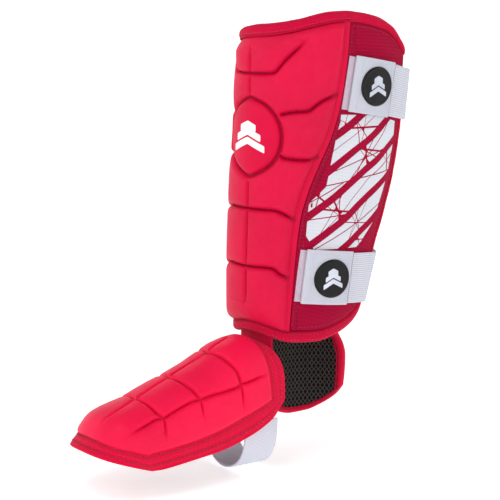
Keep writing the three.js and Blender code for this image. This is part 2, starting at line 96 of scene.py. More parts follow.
Z = [-30, -20, 0, 20, 45, 70, 95, 120, 145, 170, 195, 220, 245, 270, 295, 315]
yr = table(Z, [-57.8, -57.9, -58.2, -58.8, -59.6, -59.6, -58.9, -57.8, -56.8, -56.0, -55.2, -54.6, -54.2, -54.0, -54.0, -54.0])
l1 = table(Z, [33.8, 34.1, 34.9, 36.8, 39.5, 41.7, 43.4, 46.0, 52.5, 62.5, 73.0, 80.0, 84.2, 87.0, 88.5, 89.0])
fs = table(Z, [55, 55, 55, 55, 55, 55.4, 56.3, 57.8, 60.9, 64.8, 68.4, 70.8, 72, 72.3, 72.5, 72.5])
l2 = table(Z, [69, 71.1, 77.4, 83.4, 89.1, 93.5, 99, 104.5, 103.5, 97, 88.5, 82.5, 80, 78, 74.3, 73])
fe = table(Z, [112, 112, 111.8, 111.4, 110.9, 110.4, 110, 110, 109.8, 109.1, 107.7, 106.6, 105.6, 104.8, 104.3, 104])
rm = table(Z, [58.5, 58.5, 58.2, 57.6, 57, 57, 57, 56.5, 54, 50.5, 47, 43.5, 40.5, 36, 27, 22])
l2m = table(Z, [48, 50, 54, 58, 62, 66, 70, 76, 82, 88, 91, 92, 91, 91, 95, 98])
seamM = table(Z, [60, 60, 60, 60, 60, 61, 62, 63, 66, 70, 74, 76, 77, 78, 78, 78])
edgeL = table([-30, 0, 20, 45, 70, 97, 130, 155, 180, 220, 260, 315], [108, 114, 119.5, 126, 132, 140, 152.5, 160, 163, 163.8, 165.2, 164])
bottom = table([-140, -118, -110, -100, -80, -60, -40, -23, -6, 6, 16, 24, 31, 46, 65, 75, 87, 98, 108, 115, 120, 126],
               [40, 24, 15, 10, 8, 8, 9.5, 12.4, 15.2, 14.9, 12.8, 10.4, 8, 6.3, 5.8, 7.2, 10.2, 13.5, 17.3, 21.5, 26, 36])
seamTop = table([-150, -132, -118, -98, -78, -58, -38, -20, -6, 9, 19, 37, 53, 69, 78, 87, 107, 130, 144, 151, 168],
                [240, 251, 258.5, 264, 267.5, 271, 275.5, 279, 281, 282, 282.7, 285.5, 289.5, 293.3, 294.8, 294.6, 292.2, 286.6, 278.4, 271.2, 255])
collarTop = table([-150, -132, -118, -98, -78, -58, -38, -20, -6, 9, 20, 37, 53, 69, 82, 96, 117, 138, 153, 168],
                  [248, 260, 267.5, 273, 276.5, 280.2, 284.8, 288.4, 290.2, 291.7, 292.5, 294.8, 298.5, 302.1, 303, 302.2, 298.6, 290, 276, 262])
NOSE, END = math.radians(62), math.radians(112)


def edgeM(z):
    return rm(z) * NOSE + l2m(z)


def shin(s, z, w):
    s, z, w = np.broadcast_arrays(np.asarray(s, float), np.asarray(z, float), np.asarray(w, float))
    side = np.where(s < 0, -1.0, 1.0); q = np.abs(s)
    a1 = np.where(side > 0, np.radians(fs(z)), NOSE); a2 = np.where(side > 0, np.radians(fe(z)), END)
    len1 = np.where(side > 0, l1(z), rm(z) * NOSE); len2 = np.where(side > 0, l2(z), l2m(z))
    k1 = len1 / a1; k2 = len2 / (a2 - a1)
    first = q <= len1
    a = np.where(first, q / k1, a1 + (q - len1) / k2)
    x = np.where(first, k1 * np.sin(a), k1 * np.sin(a1) + k2 * (np.sin(a) - np.sin(a1)))
    y = np.where(first, yr(z) + k1 * (1 - np.cos(a)), yr(z) + k1 * (1 - np.cos(a1)) - k2 * (np.cos(a) - np.cos(a1)))
    return np.stack([side * (x + w * np.sin(a)), y - w * np.cos(a), z], -1)


# foot dome
FT = [0, 0.10, 0.28, 0.45, 0.62, 0.78, 0.90, 1.0]
ff = table(FT, [57, 68, 92, 122, 154, 186, 214, 239]); fe2 = table(FT, [44, 61, 90, 118, 144, 166, 180, 189])
fz = table(FT, [10.5, 14, 9, -6, -18, -30, -38.5, -63]); fb = table(FT, [-44, -62, -72, -77, -79.5, -81.5, -83, -84])
fw = table(FT, [45, 46, 47.5, 49.5, 51, 52, 51.5, 50])
CREST_SHIFT, DOME_POWER, YAW = 8, 2.35, math.radians(8)
ACROSS = np.array([math.cos(YAW), -math.sin(YAW), 0]); FORWARD = np.array([-math.sin(YAW), -math.cos(YAW), 0])


def footAt(l, f, z):
    l, f, z = np.broadcast_arrays(np.asarray(l, float), np.asarray(f, float), np.asarray(z, float))
    return l[..., None] * ACROSS + f[..., None] * FORWARD + z[..., None] * np.array([0, 0, 1.0])


def dome0(a, t):
    th = np.asarray(a, float) * math.pi / 2; e = 2 / DOME_POWER
    s = np.sign(th) * np.abs(np.sin(th)) ** e; h = np.maximum(0, np.cos(th)) ** e; q = np.minimum(1, np.abs(s))
    k = np.clip((t - 0.45) / 0.55, 0, 1); n = 2 + 0.4 * k; mix = 0.35 + 0.65 * k
    m = lerp(1.0, 2.2, smooth(0, 0.2, t))
    g = (1 - np.maximum(0, 1 - q ** n) ** (1 / n)) * mix + q ** m * (1 - mix)
    return footAt(CREST_SHIFT * h * np.sin(math.pi * h / 2) + fw(t) * s, ff(t) - (ff(t) - fe2(t)) * g, fb(t) + (fz(t) - fb(t)) * h)


def domeN(a, t):
    a, t = np.broadcast_arrays(np.asarray(a, float), np.asarray(t, float))
    e = 0.012
    a0, a1, t0, t1 = np.clip(a - e, -1, 1), np.clip(a + e, -1, 1), np.clip(t - e, 0, 1), np.clip(t + e, 0, 1)
    n = np.cross(dome0(a1, t) - dome0(a0, t), dome0(a, t1) - dome0(a, t0))
    n /= np.linalg.norm(n, axis=-1, keepdims=True) + 1e-12
    c = footAt(0, 110, -90)
    flip = ((n * (dome0(a, t) - c)).sum(-1) < 0)
    n[flip] *= -1
    return n


def dome(a, t, w):
    return dome0(a, t) + domeN(a, t) * np.asarray(w, float)[..., None]


def corner(A, B, k=0.05):
    kk = np.where(np.asarray(B, float) < 0, k, 0)
    return A * np.sqrt(1 - kk * B * B), (B * np.sqrt(1 - kk * A * A) + 1) / 2


# ---------------------------------------------------------------- mesh helpers
def make(name, verts, faces, st=None, mat=None, sharp=38, h=None, merge=True):
    """A smooth-shaded mesh from millimetre points. st is kept on the points as the attribute that materials read."""
    me = bpy.data.meshes.new(name)
    verts = np.asarray(verts, float).reshape(-1, 3)
    me.from_pydata((verts / 1000.0).tolist(), [], faces.tolist() if isinstance(faces, np.ndarray) else faces)
    if st is not None:
        at = me.attributes.new("st", "FLOAT_VECTOR", "POINT")
        at.data.foreach_set("vector", np.asarray(st, np.float32).reshape(-1))
    if h is not None:
        at = me.attributes.new("relief", "FLOAT", "POINT")
        at.data.foreach_set("value", np.asarray(h, np.float32).reshape(-1))
    me.update()
    bm = bmesh.new(); bm.from_mesh(me)
    if merge:
        bmesh.ops.remove_doubles(bm, verts=bm.verts, dist=2e-6)
        bmesh.ops.dissolve_degenerate(bm, dist=1e-6, edges=bm.edges)
    bmesh.ops.recalc_face_normals(bm, faces=bm.faces)
    bm.to_mesh(me); bm.free()
    me.shade_smooth()
    me.set_sharp_from_angle(angle=math.radians(sharp))
    ob = bpy.data.objects.new(name, me)
    bpy.context.scene.collection.objects.link(ob)
    if mat is not None:
        me.materials.append(mat)
    return ob


def grid_faces(nu, nv, off=0, wrap_u=False):
    i, j = np.meshgrid(np.arange(nu if wrap_u else nu - 1), np.arange(nv - 1), indexing="ij")
    a = i * nv + j; b = ((i + 1) % nu) * nv + j
    return np.stack([a, b, b + 1, a + 1], -1).reshape(-1, 4) + off


def slab_mesh(name, front, back, st=None, h=None, wrap_u=False, **kw):
    """Closed slab from two nu x nv grids of points."""
    nu, nv = front.shape[:2]
    n = nu * nv
    f = [grid_faces(nu, nv, 0, wrap_u), grid_faces(nu, nv, n, wrap_u)[:, ::-1]]
    idx = np.arange(n).reshape(nu, nv)
    loops = []
    if wrap_u:
        for e in (idx[:, 0], idx[::-1, -1]):
            e2 = np.roll(e, -1)
            loops.append(np.stack([e, e + n, e2 + n, e2], -1))
    else:
        rim = np.concatenate([idx[:-1, 0], idx[-1, :-1], idx[:0:-1, -1], idx[0, :0:-1]])
        r2 = np.roll(rim, -1)
        loops.append(np.stack([rim, rim + n, r2 + n, r2], -1))
    faces = np.concatenate(f + loops)
    verts = np.concatenate([front.reshape(-1, 3), back.reshape(-1, 3)])
    if st is not None:
        st = np.concatenate([st.reshape(-1, 3)] * 2)
    if h is not None:
        h = np.concatenate([h.reshape(-1), h.reshape(-1)])
    return make(name, verts, faces, st, h=h, **kw)


def ends(n, r, k=5):
    """n+1 even samples of 0..1 with k extra ones inside r of each end, so that an edge can be rounded."""
    e = r * (1 - np.cos(np.linspace(0, math.pi / 2, k + 1)))
    return np.concatenate([e, np.linspace(r, 1 - r, n + 1)[1:-1], 1 - e[::-1]])


def rounding(x, r):
    """0 at x = 0, rising on a quarter circle to 1 at x = r."""
    t = np.clip(x / r, 0, 1)
    return np.sqrt(np.maximum(0, 1 - (1 - t) ** 2))


def polydist(P, Q):
    """Distance from each point P (..., d) to the polyline Q (m, d), and how far along it, 0..1."""
    P = np.asarray(P, float); Q = np.asarray(Q, float)
    best = np.full(P.shape[:-1], 1e9); along = np.zeros(P.shape[:-1])
    seg = np.linalg.norm(np.diff(Q, axis=0), axis=1); total = seg.sum(); run = 0.0
    for a, b, L in zip(Q[:-1], Q[1:], seg):
        if L < 1e-9:
            continue
        t = np.clip(((P - a) @ (b - a)) / (L * L), 0, 1)
        d = np.linalg.norm(P - a - t[..., None] * (b - a), axis=-1)
        m = d < best
        best = np.where(m, d, best); along = np.where(m, (run + t * L) / total, along)
        run += L
    return best, along


def resample(Q, step):
    Q = np.asarray(Q, float)
    d = np.concatenate([[0], np.cumsum(np.linalg.norm(np.diff(Q, axis=0), axis=1))])
    n = max(2, int(round(d[-1] / step)) + 1)
    x = np.linspace(0, d[-1], n)
    return np.stack([np.interp(x, d, Q[:, k]) for k in range(Q.shape[1])], -1)


def smoothline(Q, n=8):
    """Catmull-Rom through the points of Q."""
    Q = np.asarray(Q, float)
    P = np.vstack([2 * Q[0] - Q[1], Q, 2 * Q[-1] - Q[-2]])
    out = []
    for i in range(1, len(P) - 2):
        for t in np.linspace(0, 1, n, endpoint=False):
            a, b, c, d = P[i - 1], P[i], P[i + 1], P[i + 2]
            out.append(0.5 * (2 * b + (c - a) * t + (2 * a - 5 * b + 4 * c - d) * t * t + (3 * b - a - 3 * c + d) * t ** 3))
    out.append(Q[-1])
    return np.array(out)


def stitches(name, rows, radius=0.32, mat=None, flat=0.75):
    """One mesh of thread stitches. rows are (m, 2, 3) arrays: the two ends of each stitch, with its up direction as a third entry if given."""
    V, F = [], []
    ring = [(math.cos(a), math.sin(a)) for a in np.linspace(0, 2 * math.pi, 6, endpoint=False)]
    prof = [(0.0, 0.25), (0.12, 0.8), (0.5, 1.0), (0.88, 0.8), (1.0, 0.25)]
    for row in rows:
        for p, q, up in row:
            d = q - p; L = np.linalg.norm(d)
            if L < 1e-6:
                continue
            d = d / L
            up = up - (up @ d) * d; up /= np.linalg.norm(up) + 1e-9
            sd = np.cross(d, up)
            base = len(V)
            for t, k in prof:
                c = p + d * L * t + up * radius * 0.55 * math.sin(math.pi * t)
                for x, y in ring:
                    V.append(c + sd * x * radius * k + up * y * radius * k * flat)
            V.append(p - d * radius * 0.15); V.append(q + d * radius * 0.15)
            n = len(ring)
            for i in range(len(prof) - 1):
                for j in range(n):
                    a = base + i * n + j; b = base + i * n + (j + 1) % n
                    F.append((a, b, b + n, a + n))
            for j in range(n):
                F.append((base + (j + 1) % n, base + j, base + len(prof) * n))
                F.append((base + (len(prof) - 1) * n + j, base + (len(prof) - 1) * n + (j + 1) % n, base + len(prof) * n + 1))
    V = np.array(V)
    return make(name, V, F, st=V, mat=mat, sharp=80, merge=False)


def stitch_row(points, ups, length=2.4, gap=1.0):
    """Straight running stitches along a line on a surface."""
    P = np.asarray(points, float)
    d = np.concatenate([[0], np.cumsum(np.linalg.norm(np.diff(P, axis=0), axis=1))])
    U = np.asarray(ups, float)
    at = lambda A, x: np.array([np.interp(x, d, A[:, k]) for k in range(3)])
    n = int(d[-1] // (length + gap))
    step = d[-1] / max(1, n)
    return [(at(P, i * step), at(P, i * step + step - gap), at(U, (i + 0.5) * step)) for i in range(n)]


def zigzag_row(pa, pb, ups, pitch=2.2):
    """Zigzag stitches between two lines of the same number of points."""
    P = (np.asarray(pa) + np.asarray(pb)) / 2
    d = np.concatenate([[0], np.cumsum(np.linalg.norm(np.diff(P, axis=0), axis=1))])
    at = lambda A, x: np.array([np.interp(x, d, np.asarray(A)[:, k]) for k in range(3)])
    n = int(d[-1] / pitch); out = []
    for i in range(n):
        x0, x1 = i * d[-1] / n, (i + 1) * d[-1] / n
        p = at(pa if i % 2 else pb, x0); q = at(pb if i % 2 else pa, x1)
        m = 0.08 * (q - p)
        out.append((p + m, q - m, at(ups, (x0 + x1) / 2)))
    return out


def tube(name, lines, radius, mat=None, sides=6, closed=False, flat=1.0, ups=None):
    """One mesh of round threads or piping along several lines."""
    V, F, S = [], [], []
    for li, L in enumerate(lines):
        L = np.asarray(L, float); m = len(L)
        T = np.gradient(L, axis=0)
        if closed:
            T = (np.roll(L, -1, 0) - np.roll(L, 1, 0))
        T /= np.linalg.norm(T, axis=1, keepdims=True) + 1e-9
        up = np.array([0.0, 0, 1]) if ups is None else None
        base = len(V)
        for i in range(m):
            u = up if ups is None else ups[li][i]
            u = u - (u @ T[i]) * T[i]
            if np.linalg.norm(u) < 1e-4:
                u = np.cross(T[i], [1.0, 0, 0])
            u = u / np.linalg.norm(u); s = np.cross(T[i], u)
            for k in range(sides):
                a = 2 * math.pi * k / sides
                V.append(L[i] + radius * (math.cos(a) * s + flat * math.sin(a) * u)); S.append((i * 1.0, k, li))
        for i in range(m if closed else m - 1):
            for k in range(sides):
                a = base + i * sides + k; b = base + i * sides + (k + 1) % sides
                c = base + ((i + 1) % m) * sides + (k + 1) % sides; d = base + ((i + 1) % m) * sides + k
                F.append((a, b, c, d))
        if not closed:
            F.append(tuple(base + k for k in range(sides))[::-1])
            F.append(tuple(base + (m - 1) * sides + k for k in range(sides)))
    V = np.array(V)
    return make(name, V, F, st=V, mat=mat, sharp=70, merge=False)


def decal(name, polys, mapper, w0, w1, mat, step=2.5, st_of=None):
    """Flat print or moulded mark: plane polygons cut finely, then laid on a surface between heights w0 and w1."""
    bm = bmesh.new()
    lo = np.min([np.min(p, 0) for p in polys], 0); hi = np.max([np.max(p, 0) for p in polys], 0)
    for p in polys:
        vs = [bm.verts.new((float(a), float(b), 0)) for a, b in p]
        bm.faces.new(vs)
    for ax in (0, 1):
        for c in np.arange(math.floor(lo[ax]), hi[ax], step):
            no = [0, 0, 0]; no[ax] = 1; co = [0, 0, 0]; co[ax] = float(c) + 0.013
            bmesh.ops.bisect_plane(bm, geom=bm.verts[:] + bm.edges[:] + bm.faces[:], plane_co=co, plane_no=no, dist=1e-4)
    base = bm.faces[:]
    ex = bmesh.ops.extrude_face_region(bm, geom=base, use_keep_orig=True)
    top = [g for g in ex["geom"] if isinstance(g, bmesh.types.BMVert)]
    for v in top:
        v.co.z = 1
    bmesh.ops.recalc_face_normals(bm, faces=bm.faces)
    bm.verts.ensure_lookup_table()
    co = np.array([v.co for v in bm.verts])
    P = mapper(co[:, 0], co[:, 1], lerp(w0, w1, co[:, 2]))
    for v, p in zip(bm.verts, P):
        v.co = Vector(p / 1000.0)
    me = bpy.data.meshes.new(name)
    bm.to_mesh(me); bm.free()
    at = me.attributes.new("st", "FLOAT_VECTOR", "POINT")
    at.data.foreach_set("vector", co.astype(np.float32).reshape(-1))
    me.shade_smooth(); me.set_sharp_from_angle(angle=math.radians(35))
    me.materials.append(mat)
    ob = bpy.data.objects.new(name, me)
    bpy.context.scene.collection.objects.link(ob)
    return ob


# ---------------------------------------------------------------- materials
def lin(c):
    c = np.array(c, float) / 255.0
    return tuple(np.where(c <= 0.04045, c / 12.92, ((c + 0.055) / 1.055) ** 2.4)) + (1.0,)


class Nodes:
    def __init__(self, name):
        self.m = bpy.data.materials.new(name); self.m.use_nodes = True
        self.t = self.m.node_tree; self.t.nodes.clear()
        self.out = self.t.nodes.new("ShaderNodeOutputMaterial")
        self.b = self.t.nodes.new("ShaderNodeBsdfPrincipled")
        self.t.links.new(self.b.outputs[0], self.out.inputs[0])

    def n(self, kind, **kw):
        x = self.t.nodes.new("ShaderNode" + kind)
        for k, v in kw.items():
            setattr(x, k, v)
        return x

    def l(self, a, b):
        self.t.links.new(a, b)

    def set(self, **kw):
        for k, v in kw.items():
            self.b.inputs[k.replace("_", " ")].default_value = v

    def math(self, op, a, b=None, c=None):
        x = self.n("Math", operation=op)
        for i, v in enumerate((a, b, c)):
            if v is None:
                continue
            if isinstance(v, (int, float)):
                x.inputs[i].default_value = v
            else:
                self.l(v, x.inputs[i])
        return x.outputs[0]

    def st(self):
        a = self.n("Attribute", attribute_name="st")
        s = self.n("SeparateXYZ"); self.l(a.outputs["Vector"], s.inputs[0])
        return a.outputs["Vector"], s.outputs[0], s.outputs[1], s.outputs[2]

    def attr(self, name):
        return self.n("Attribute", attribute_name=name).outputs["Fac"]

    def obj(self):
        return self.n("TexCoord").outputs["Object"]

    def noise(self, vec, scale, detail=3, rough=0.5):
        x = self.n("TexNoise"); self.l(vec, x.inputs["Vector"])
        x.inputs["Scale"].default_value = scale; x.inputs["Detail"].default_value = detail; x.inputs["Roughness"].default_value = rough
        return x.outputs["Fac"]

    def voronoi(self, vec, scale, feature="F1"):
        x = self.n("TexVoronoi", feature=feature); self.l(vec, x.inputs["Vector"]); x.inputs["Scale"].default_value = scale
        return x.outputs["Distance"]

    def ramp(self, fac, stops):
        x = self.n("ValToRGB"); self.l(fac, x.inputs[0])
        e = x.color_ramp.elements
        while len(e) < len(stops):
            e.new(0.5)
        for el, (p, c) in zip(e, stops):
            el.position = p; el.color = c
        return x.outputs[0]

    def mix(self, fac, a, b, blend="MIX"):
        x = self.n("Mix", data_type="RGBA", blend_type=blend)
        for sock, v in ((x.inputs[0], fac), (x.inputs[6], a), (x.inputs[7], b)):
            if isinstance(v, (int, float)):
                sock.default_value = v
            elif isinstance(v, tuple):
                sock.default_value = v
            else:
                self.l(v, sock)
        return x.outputs[2]

    def bump(self, height, strength, distance, normal=None):
        x = self.n("Bump"); x.inputs["Strength"].default_value = strength; x.inputs["Distance"].default_value = distance
        self.l(height, x.inputs["Height"])
        if normal is not None:
            self.l(normal, x.inputs["Normal"])
        return x.outputs[0]

    def done(self, color=None, rough=None, normal=None):
        if color is not None:
            self.l(color, self.b.inputs["Base Color"])
        if rough is not None:
            self.l(rough, self.b.inputs["Roughness"])
        if normal is not None:
            self.l(normal, self.b.inputs["Normal"])
        return self.m


def sc(c, k):
    """An sRGB colour made k times as bright."""
    return tuple(min(255.0, v * k) for v in c)


def moulded(name, c, rough=0.5, relief=True):
    """Moulded foam skin: fine pebble grain, faint cloudiness, painted shade in the valleys and rubbed crests."""
    n = Nodes(name); o = n.obj()
    cloud = n.noise(o, 22, 4)
    col = n.ramp(cloud, [(0.3, lin(sc(c, 0.965))), (0.7, lin(sc(c, 1.03)))])
    if relief:
        h = n.attr("relief")
        # painted shade: where the relief mask is low (grooves, foot of the bevels) the colour is mixed toward a darker
        # red
        col = n.mix(n.ramp(h, [(0.0, (1, 1, 1, 1)), (0.55, (0, 0, 0, 1))]), col, lin((c[0] * 0.74, c[1] * 0.5, c[2] * 0.72)))
        # rub wear: high crests turn slightly lighter, broken up by noise
        rub = n.math("MULTIPLY", n.ramp(h, [(0.80, (0, 0, 0, 1)), (1.0, (1, 1, 1, 1))]), n.math("MULTIPLY", n.noise(o, 160, 3), 0.05))
        col = n.mix(rub, col, lin((250, 110, 135)))
    grain = n.voronoi(o, 1900)
    fine = n.noise(o, 900, 2)
    r = n.math("MULTIPLY_ADD", n.noise(o, 60, 4), 0.14, rough - 0.07)
    nb = n.bump(grain, 0.10, 0.0004)
    nb = n.bump(fine, 0.06, 0.0005, nb)
    n.set(Specular_IOR_Level=0.12, Sheen_Weight=0.01, Sheen_Roughness=0.5)
    n.b.inputs["Sheen Tint"].default_value = (1.0, 0.45, 0.55, 1)
    return n.done(col, r, nb)


def fabric(name, c, px=1.3, pz=1.0, amp=0.35, rough=0.8, dark=0.8, sheen=0.25, style="knit", tint=(1.0, 0.4, 0.5), depth=0.0005, var=0.05):
    """Cloth whose threads follow the panel: knit rows, plain weave, ribs or a dotted air mesh."""
    n = Nodes(name); v, x, z, w = n.st()
    wob = n.noise(v, 0.35, 2)
    wx = n.math("ADD", x, n.math("MULTIPLY", wob, 0.35)); wz = n.math("ADD", z, n.math("MULTIPLY", wob, 0.35))
    sx = n.math("SINE", n.math("MULTIPLY", wx, 2 * math.pi / px)); sz = n.math("SINE", n.math("MULTIPLY", wz, 2 * math.pi / pz))
    if style == "plain":
        h = n.math("MULTIPLY", sx, sz); h = n.math("MULTIPLY_ADD", h, 0.5, 0.5)
    elif style == "rib_x":      # ridges that run along z
        h = n.math("MULTIPLY_ADD", sx, 0.4, 0.5); h = n.math("ADD", h, n.math("MULTIPLY", sz, 0.1))
    elif style == "rib_z":      # ridges that run along s
        h = n.math("MULTIPLY_ADD", sz, 0.4, 0.5); h = n.math("ADD", h, n.math("MULTIPLY", sx, 0.1))
    elif style == "mesh":       # small holes in staggered rows
        half = n.math("SINE", n.math("MULTIPLY_ADD", wz, 2 * math.pi / pz, n.math("MULTIPLY", n.math("FLOOR", n.math("DIVIDE", wx, px)), math.pi)))
        hole = n.math("MULTIPLY", n.math("MAXIMUM", n.math("SINE", n.math("MULTIPLY", wx, 2 * math.pi / px)), 0.0), n.math("MAXIMUM", half, 0.0))
        h = n.math("SUBTRACT", 0.85, hole)
    else:                       # knit: little v shapes
        zz = n.math("ADD", n.math("MULTIPLY", wz, 2 * math.pi / pz), n.math("MULTIPLY", n.math("ABSOLUTE", sx), 1.6))
        h = n.math("MULTIPLY_ADD", n.math("SINE", zz), 0.35, 0.5); h = n.math("ADD", h, n.math("MULTIPLY", n.math("ABSOLUTE", sx), 0.2))
    fuzz = n.noise(v, 2.3, 3, 0.6)
    hh = n.math("ADD", n.math("MULTIPLY", h, 0.85), n.math("MULTIPLY", fuzz, 0.3))
    col = n.ramp(h, [(0.0, lin(sc(c, dark))), (0.75, lin(c))])
    big = n.noise(v, 0.045, 3)
    col = n.mix(n.math("MULTIPLY", n.ramp(big, [(0.35, (0, 0, 0, 1)), (0.65, (1, 1, 1, 1))]), var), col, lin(sc(c, 0.72)))
    n.set(Specular_IOR_Level=0.10, Sheen_Weight=sheen * 0.6, Sheen_Roughness=0.45)
    n.b.inputs["Sheen Tint"].default_value = tint + (1,)
    r = n.math("MULTIPLY_ADD", fuzz, 0.2, rough - 0.1)
    return n.done(col, r, n.bump(hh, amp, depth))


def plastic(name, c, rough=0.5, grain=700, amp=0.15):
    n = Nodes(name); o = n.obj()
    col = n.ramp(n.noise(o, 30, 4), [(0.3, lin(sc(c, 0.9))), (0.7, lin(sc(c, 1.08)))])
    n.set(Specular_IOR_Level=0.25)
    return n.done(col, n.math("MULTIPLY_ADD", n.noise(o, 90, 3), 0.16, rough - 0.08), n.bump(n.voronoi(o, grain), amp, 0.0004))


def thread(name, c):
    n = Nodes(name); o = n.obj()
    wv = n.n("TexWave", wave_type="BANDS", bands_direction="DIAGONAL"); n.l(o, wv.inputs["Vector"]); wv.inputs["Scale"].default_value = 620
    col = n.ramp(wv.outputs["Fac"], [(0.0, lin(sc(c, 0.8))), (1.0, lin(sc(c, 1.06)))])
    n.set(Specular_IOR_Level=0.35, Sheen_Weight=0.2)
    return n.done(col, n.math("MULTIPLY_ADD", n.noise(o, 500, 2), 0.2, 0.5), n.bump(wv.outputs["Fac"], 0.4, 0.0002))


# ---------------------------------------------------------------- camera, light and floor
def camera():
    az, el, dist = math.radians(47.0), math.radians(9.0), 1.5
    back = Vector((math.sin(az) * math.cos(el), -math.cos(az) * math.cos(el), math.sin(el)))
    cam = bpy.data.objects.new("camera", bpy.data.cameras.new("camera"))
    bpy.context.scene.collection.objects.link(cam)
    cam.location = Vector((-0.0306, -0.0328, 0.0840)) + back * dist
    cam.rotation_mode = "QUATERNION"
    cam.rotation_quaternion = (-back).to_track_quat("-Z", "Y")
    cam.data.lens = 116.64; cam.data.sensor_width = 36.0
    cam.data.clip_start = 0.05; cam.data.clip_end = 60
    bpy.context.scene.camera = cam


def light(name, az, el, dist, size, power, color=(1, 1, 1), size_y=None):
    a, e = math.radians(az), math.radians(el)
    d = Vector((math.sin(a) * math.cos(e), -math.cos(a) * math.cos(e), math.sin(e)))
    L = bpy.data.lights.new(name, "AREA"); L.shape = "RECTANGLE"; L.size = size; L.size_y = size_y or size; L.energy = power; L.color = color
    o = bpy.data.objects.new(name, L); bpy.context.scene.collection.objects.link(o)
    o.location = Vector((0, -0.03, 0.1)) + d * dist
    o.rotation_mode = "QUATERNION"; o.rotation_quaternion = (-d).to_track_quat("-Z", "Y")
    o.visible_camera = False
    return o


def studio():
    bpy.context.scene.view_settings.view_transform = "Standard"   # plain colours, as in a catalogue photograph
    w = bpy.data.worlds.new("studio"); bpy.context.scene.world = w; w.use_nodes = True
    bg = w.node_tree.nodes["Background"]; bg.inputs[0].default_value = (1, 1, 1, 1); bg.inputs[1].default_value = 0.22
    light("key", 12, 55, 1.5, 0.8, 6.6)
    light("front_fill", 66, 14, 1.9, 1.0, 1.6)
    light("left_fill", -30, 20, 1.8, 0.9, 0.8)
    light("back_rim", 150, 40, 1.8, 0.8, 2.2)
    light("low_fill", 40, -25, 1.6, 1.0, 0.2)
    n = Nodes("floor_paint")
    n.set(Specular_IOR_Level=0.1, Roughness=0.9, Emission_Strength=0.48)
    n.b.inputs["Emission Color"].default_value = (1, 1, 1, 1)
    col = n.ramp(n.noise(n.obj(), 3, 3), [(0.0, lin((247, 247, 248))), (1.0, lin((251, 251, 251)))])
    m = n.done(col)
    # a floor that curves up into a wall on every side, far away
    r = np.array([0.0, 0.5, 1.2, 2.2, 3.2, 4.2, 5.0, 5.6, 6.0, 6.2, 6.2])
    z = np.array([0, 0, 0, 0, 0, 0.0, 0.12, 0.5, 1.2, 2.4, 5.0])
    nn = 72; V = []; F = []
    for i in range(len(r)):
        for k in range(nn):
            a = 2 * math.pi * k / nn
            V.append((r[i] * 1000 * math.cos(a), r[i] * 1000 * math.sin(a), CAD_LO.z * 1000 - 1.5 + z[i] * 1000))
    for i in range(len(r) - 1):
        for k in range(nn):
            F.append((i * nn + k, i * nn + (k + 1) % nn, (i + 1) * nn + (k + 1) % nn, (i + 1) * nn + k))
    fl = make("floor", V, F, mat=m, sharp=60)


camera()
studio()

# ---------------------------------------------------------------- colours and materials
# the foot guard's red is lighter than the shell's: part of that lift is painted light for the light its upward-facing
# top catches
C_SHELL, C_FOOT_LIT, C_WING, C_COLLAR, C_FLANGE = (207, 2, 58), (238, 14, 68), (186, 2, 58), (204, 2, 56), (234, 6, 62)
C_WHITE, C_BLACK = (206, 208, 220), (30, 27, 26)
M_SHELL = moulded("moulded_red", C_SHELL, 0.52)
M_FOOT = moulded("moulded_red_foot_lit", C_FOOT_LIT, 0.46)
M_DISC = moulded("moulded_red_disc", C_SHELL, 0.48, relief=False)
M_WING = fabric("crimson_air_mesh", C_WING, 2.1, 1.25, 0.7, 0.78, 0.62, 0.04, "rib_z", depth=0.0007)
M_WING2 = fabric("crimson_welt", (204, 6, 62), 1.5, 1.2, 0.35, 0.75, 0.84, 0.2, "plain")
M_COLLAR = fabric("knit_collar", C_COLLAR, 1.6, 1.2, 0.7, 0.74, 0.84, 0.12, "knit")
M_BIND = fabric("knit_binding", (222, 8, 56), 1.6, 1.2, 0.7, 0.7, 0.84, 0.12, "knit")
M_BINDLO = fabric("knit_binding_dark", (190, 4, 54), 1.25, 0.95, 0.35, 0.75, 0.82, 0.12, "knit")
M_FLANGE = fabric("flange_cloth", C_FLANGE, 1.0, 1.0, 0.35, 0.75, 0.82, 0.12, "plain")
M_TAPE = fabric("white_webbing", C_WHITE, 0.9, 1.3, 0.4, 0.75, 0.86, 0.15, "plain", tint=(1, 1, 1), var=0.02)
M_ELASTIC = fabric("white_elastic", (210, 212, 223), 1.1, 1.9, 0.5, 0.75, 0.84, 0.15, "rib_z", tint=(1, 1, 1), var=0.02)
M_HOOK = fabric("hook_tape", (220, 202, 219), 1.7, 1.7, 0.8, 0.7, 0.78, 0.1, "plain", tint=(1, 1, 1), var=0.03)
M_STIR = fabric("white_ribbed_web", (218, 220, 232), 1.4, 2.2, 0.5, 0.7, 0.86, 0.12, "rib_x", tint=(1, 1, 1), var=0.02)
M_BLACKMESH = fabric("black_backing", (12, 11, 11), 1.2, 1.2, 0.4, 0.85, 0.6, 0.15, "plain", tint=(0.6, 0.6, 0.6))
M_LINER = fabric("black_air_mesh", (34, 31, 31), 2.4, 3.0, 0.9, 0.8, 0.35, 0.2, "mesh", tint=(0.6, 0.6, 0.6), depth=0.0009)
M_STRAND = fabric("black_mesh_strand", (74, 68, 64), 0.5, 0.5, 0.3, 0.62, 0.8, 0.3, "plain", tint=(0.7, 0.7, 0.7))
M_STRETCH = fabric("black_stretch_web", (30, 28, 29), 1.1, 1.1, 0.5, 0.75, 0.6, 0.2, "rib_x", tint=(0.6, 0.6, 0.6))
M_FOAM = plastic("grey_foam", (70, 70, 73), 0.85, 1500, 0.5)
M_PLATE = plastic("dark_plate", (44, 46, 48), 0.45, 900, 0.12)
M_BADGE = plastic("black_badge", (9, 8, 9), 0.42, 1600, 0.12)
M_MARK = plastic("white_print", (238, 239, 243), 0.45, 1500, 0.08)
M_MARKB = plastic("white_badge_print", (206, 210, 222), 0.5, 1500, 0.1)
M_PRINT = fabric("white_screen_print", (218, 220, 228), 2.1, 1.25, 0.3, 0.6, 0.9, 0.1, "rib_z", tint=(1, 1, 1), var=0.02)
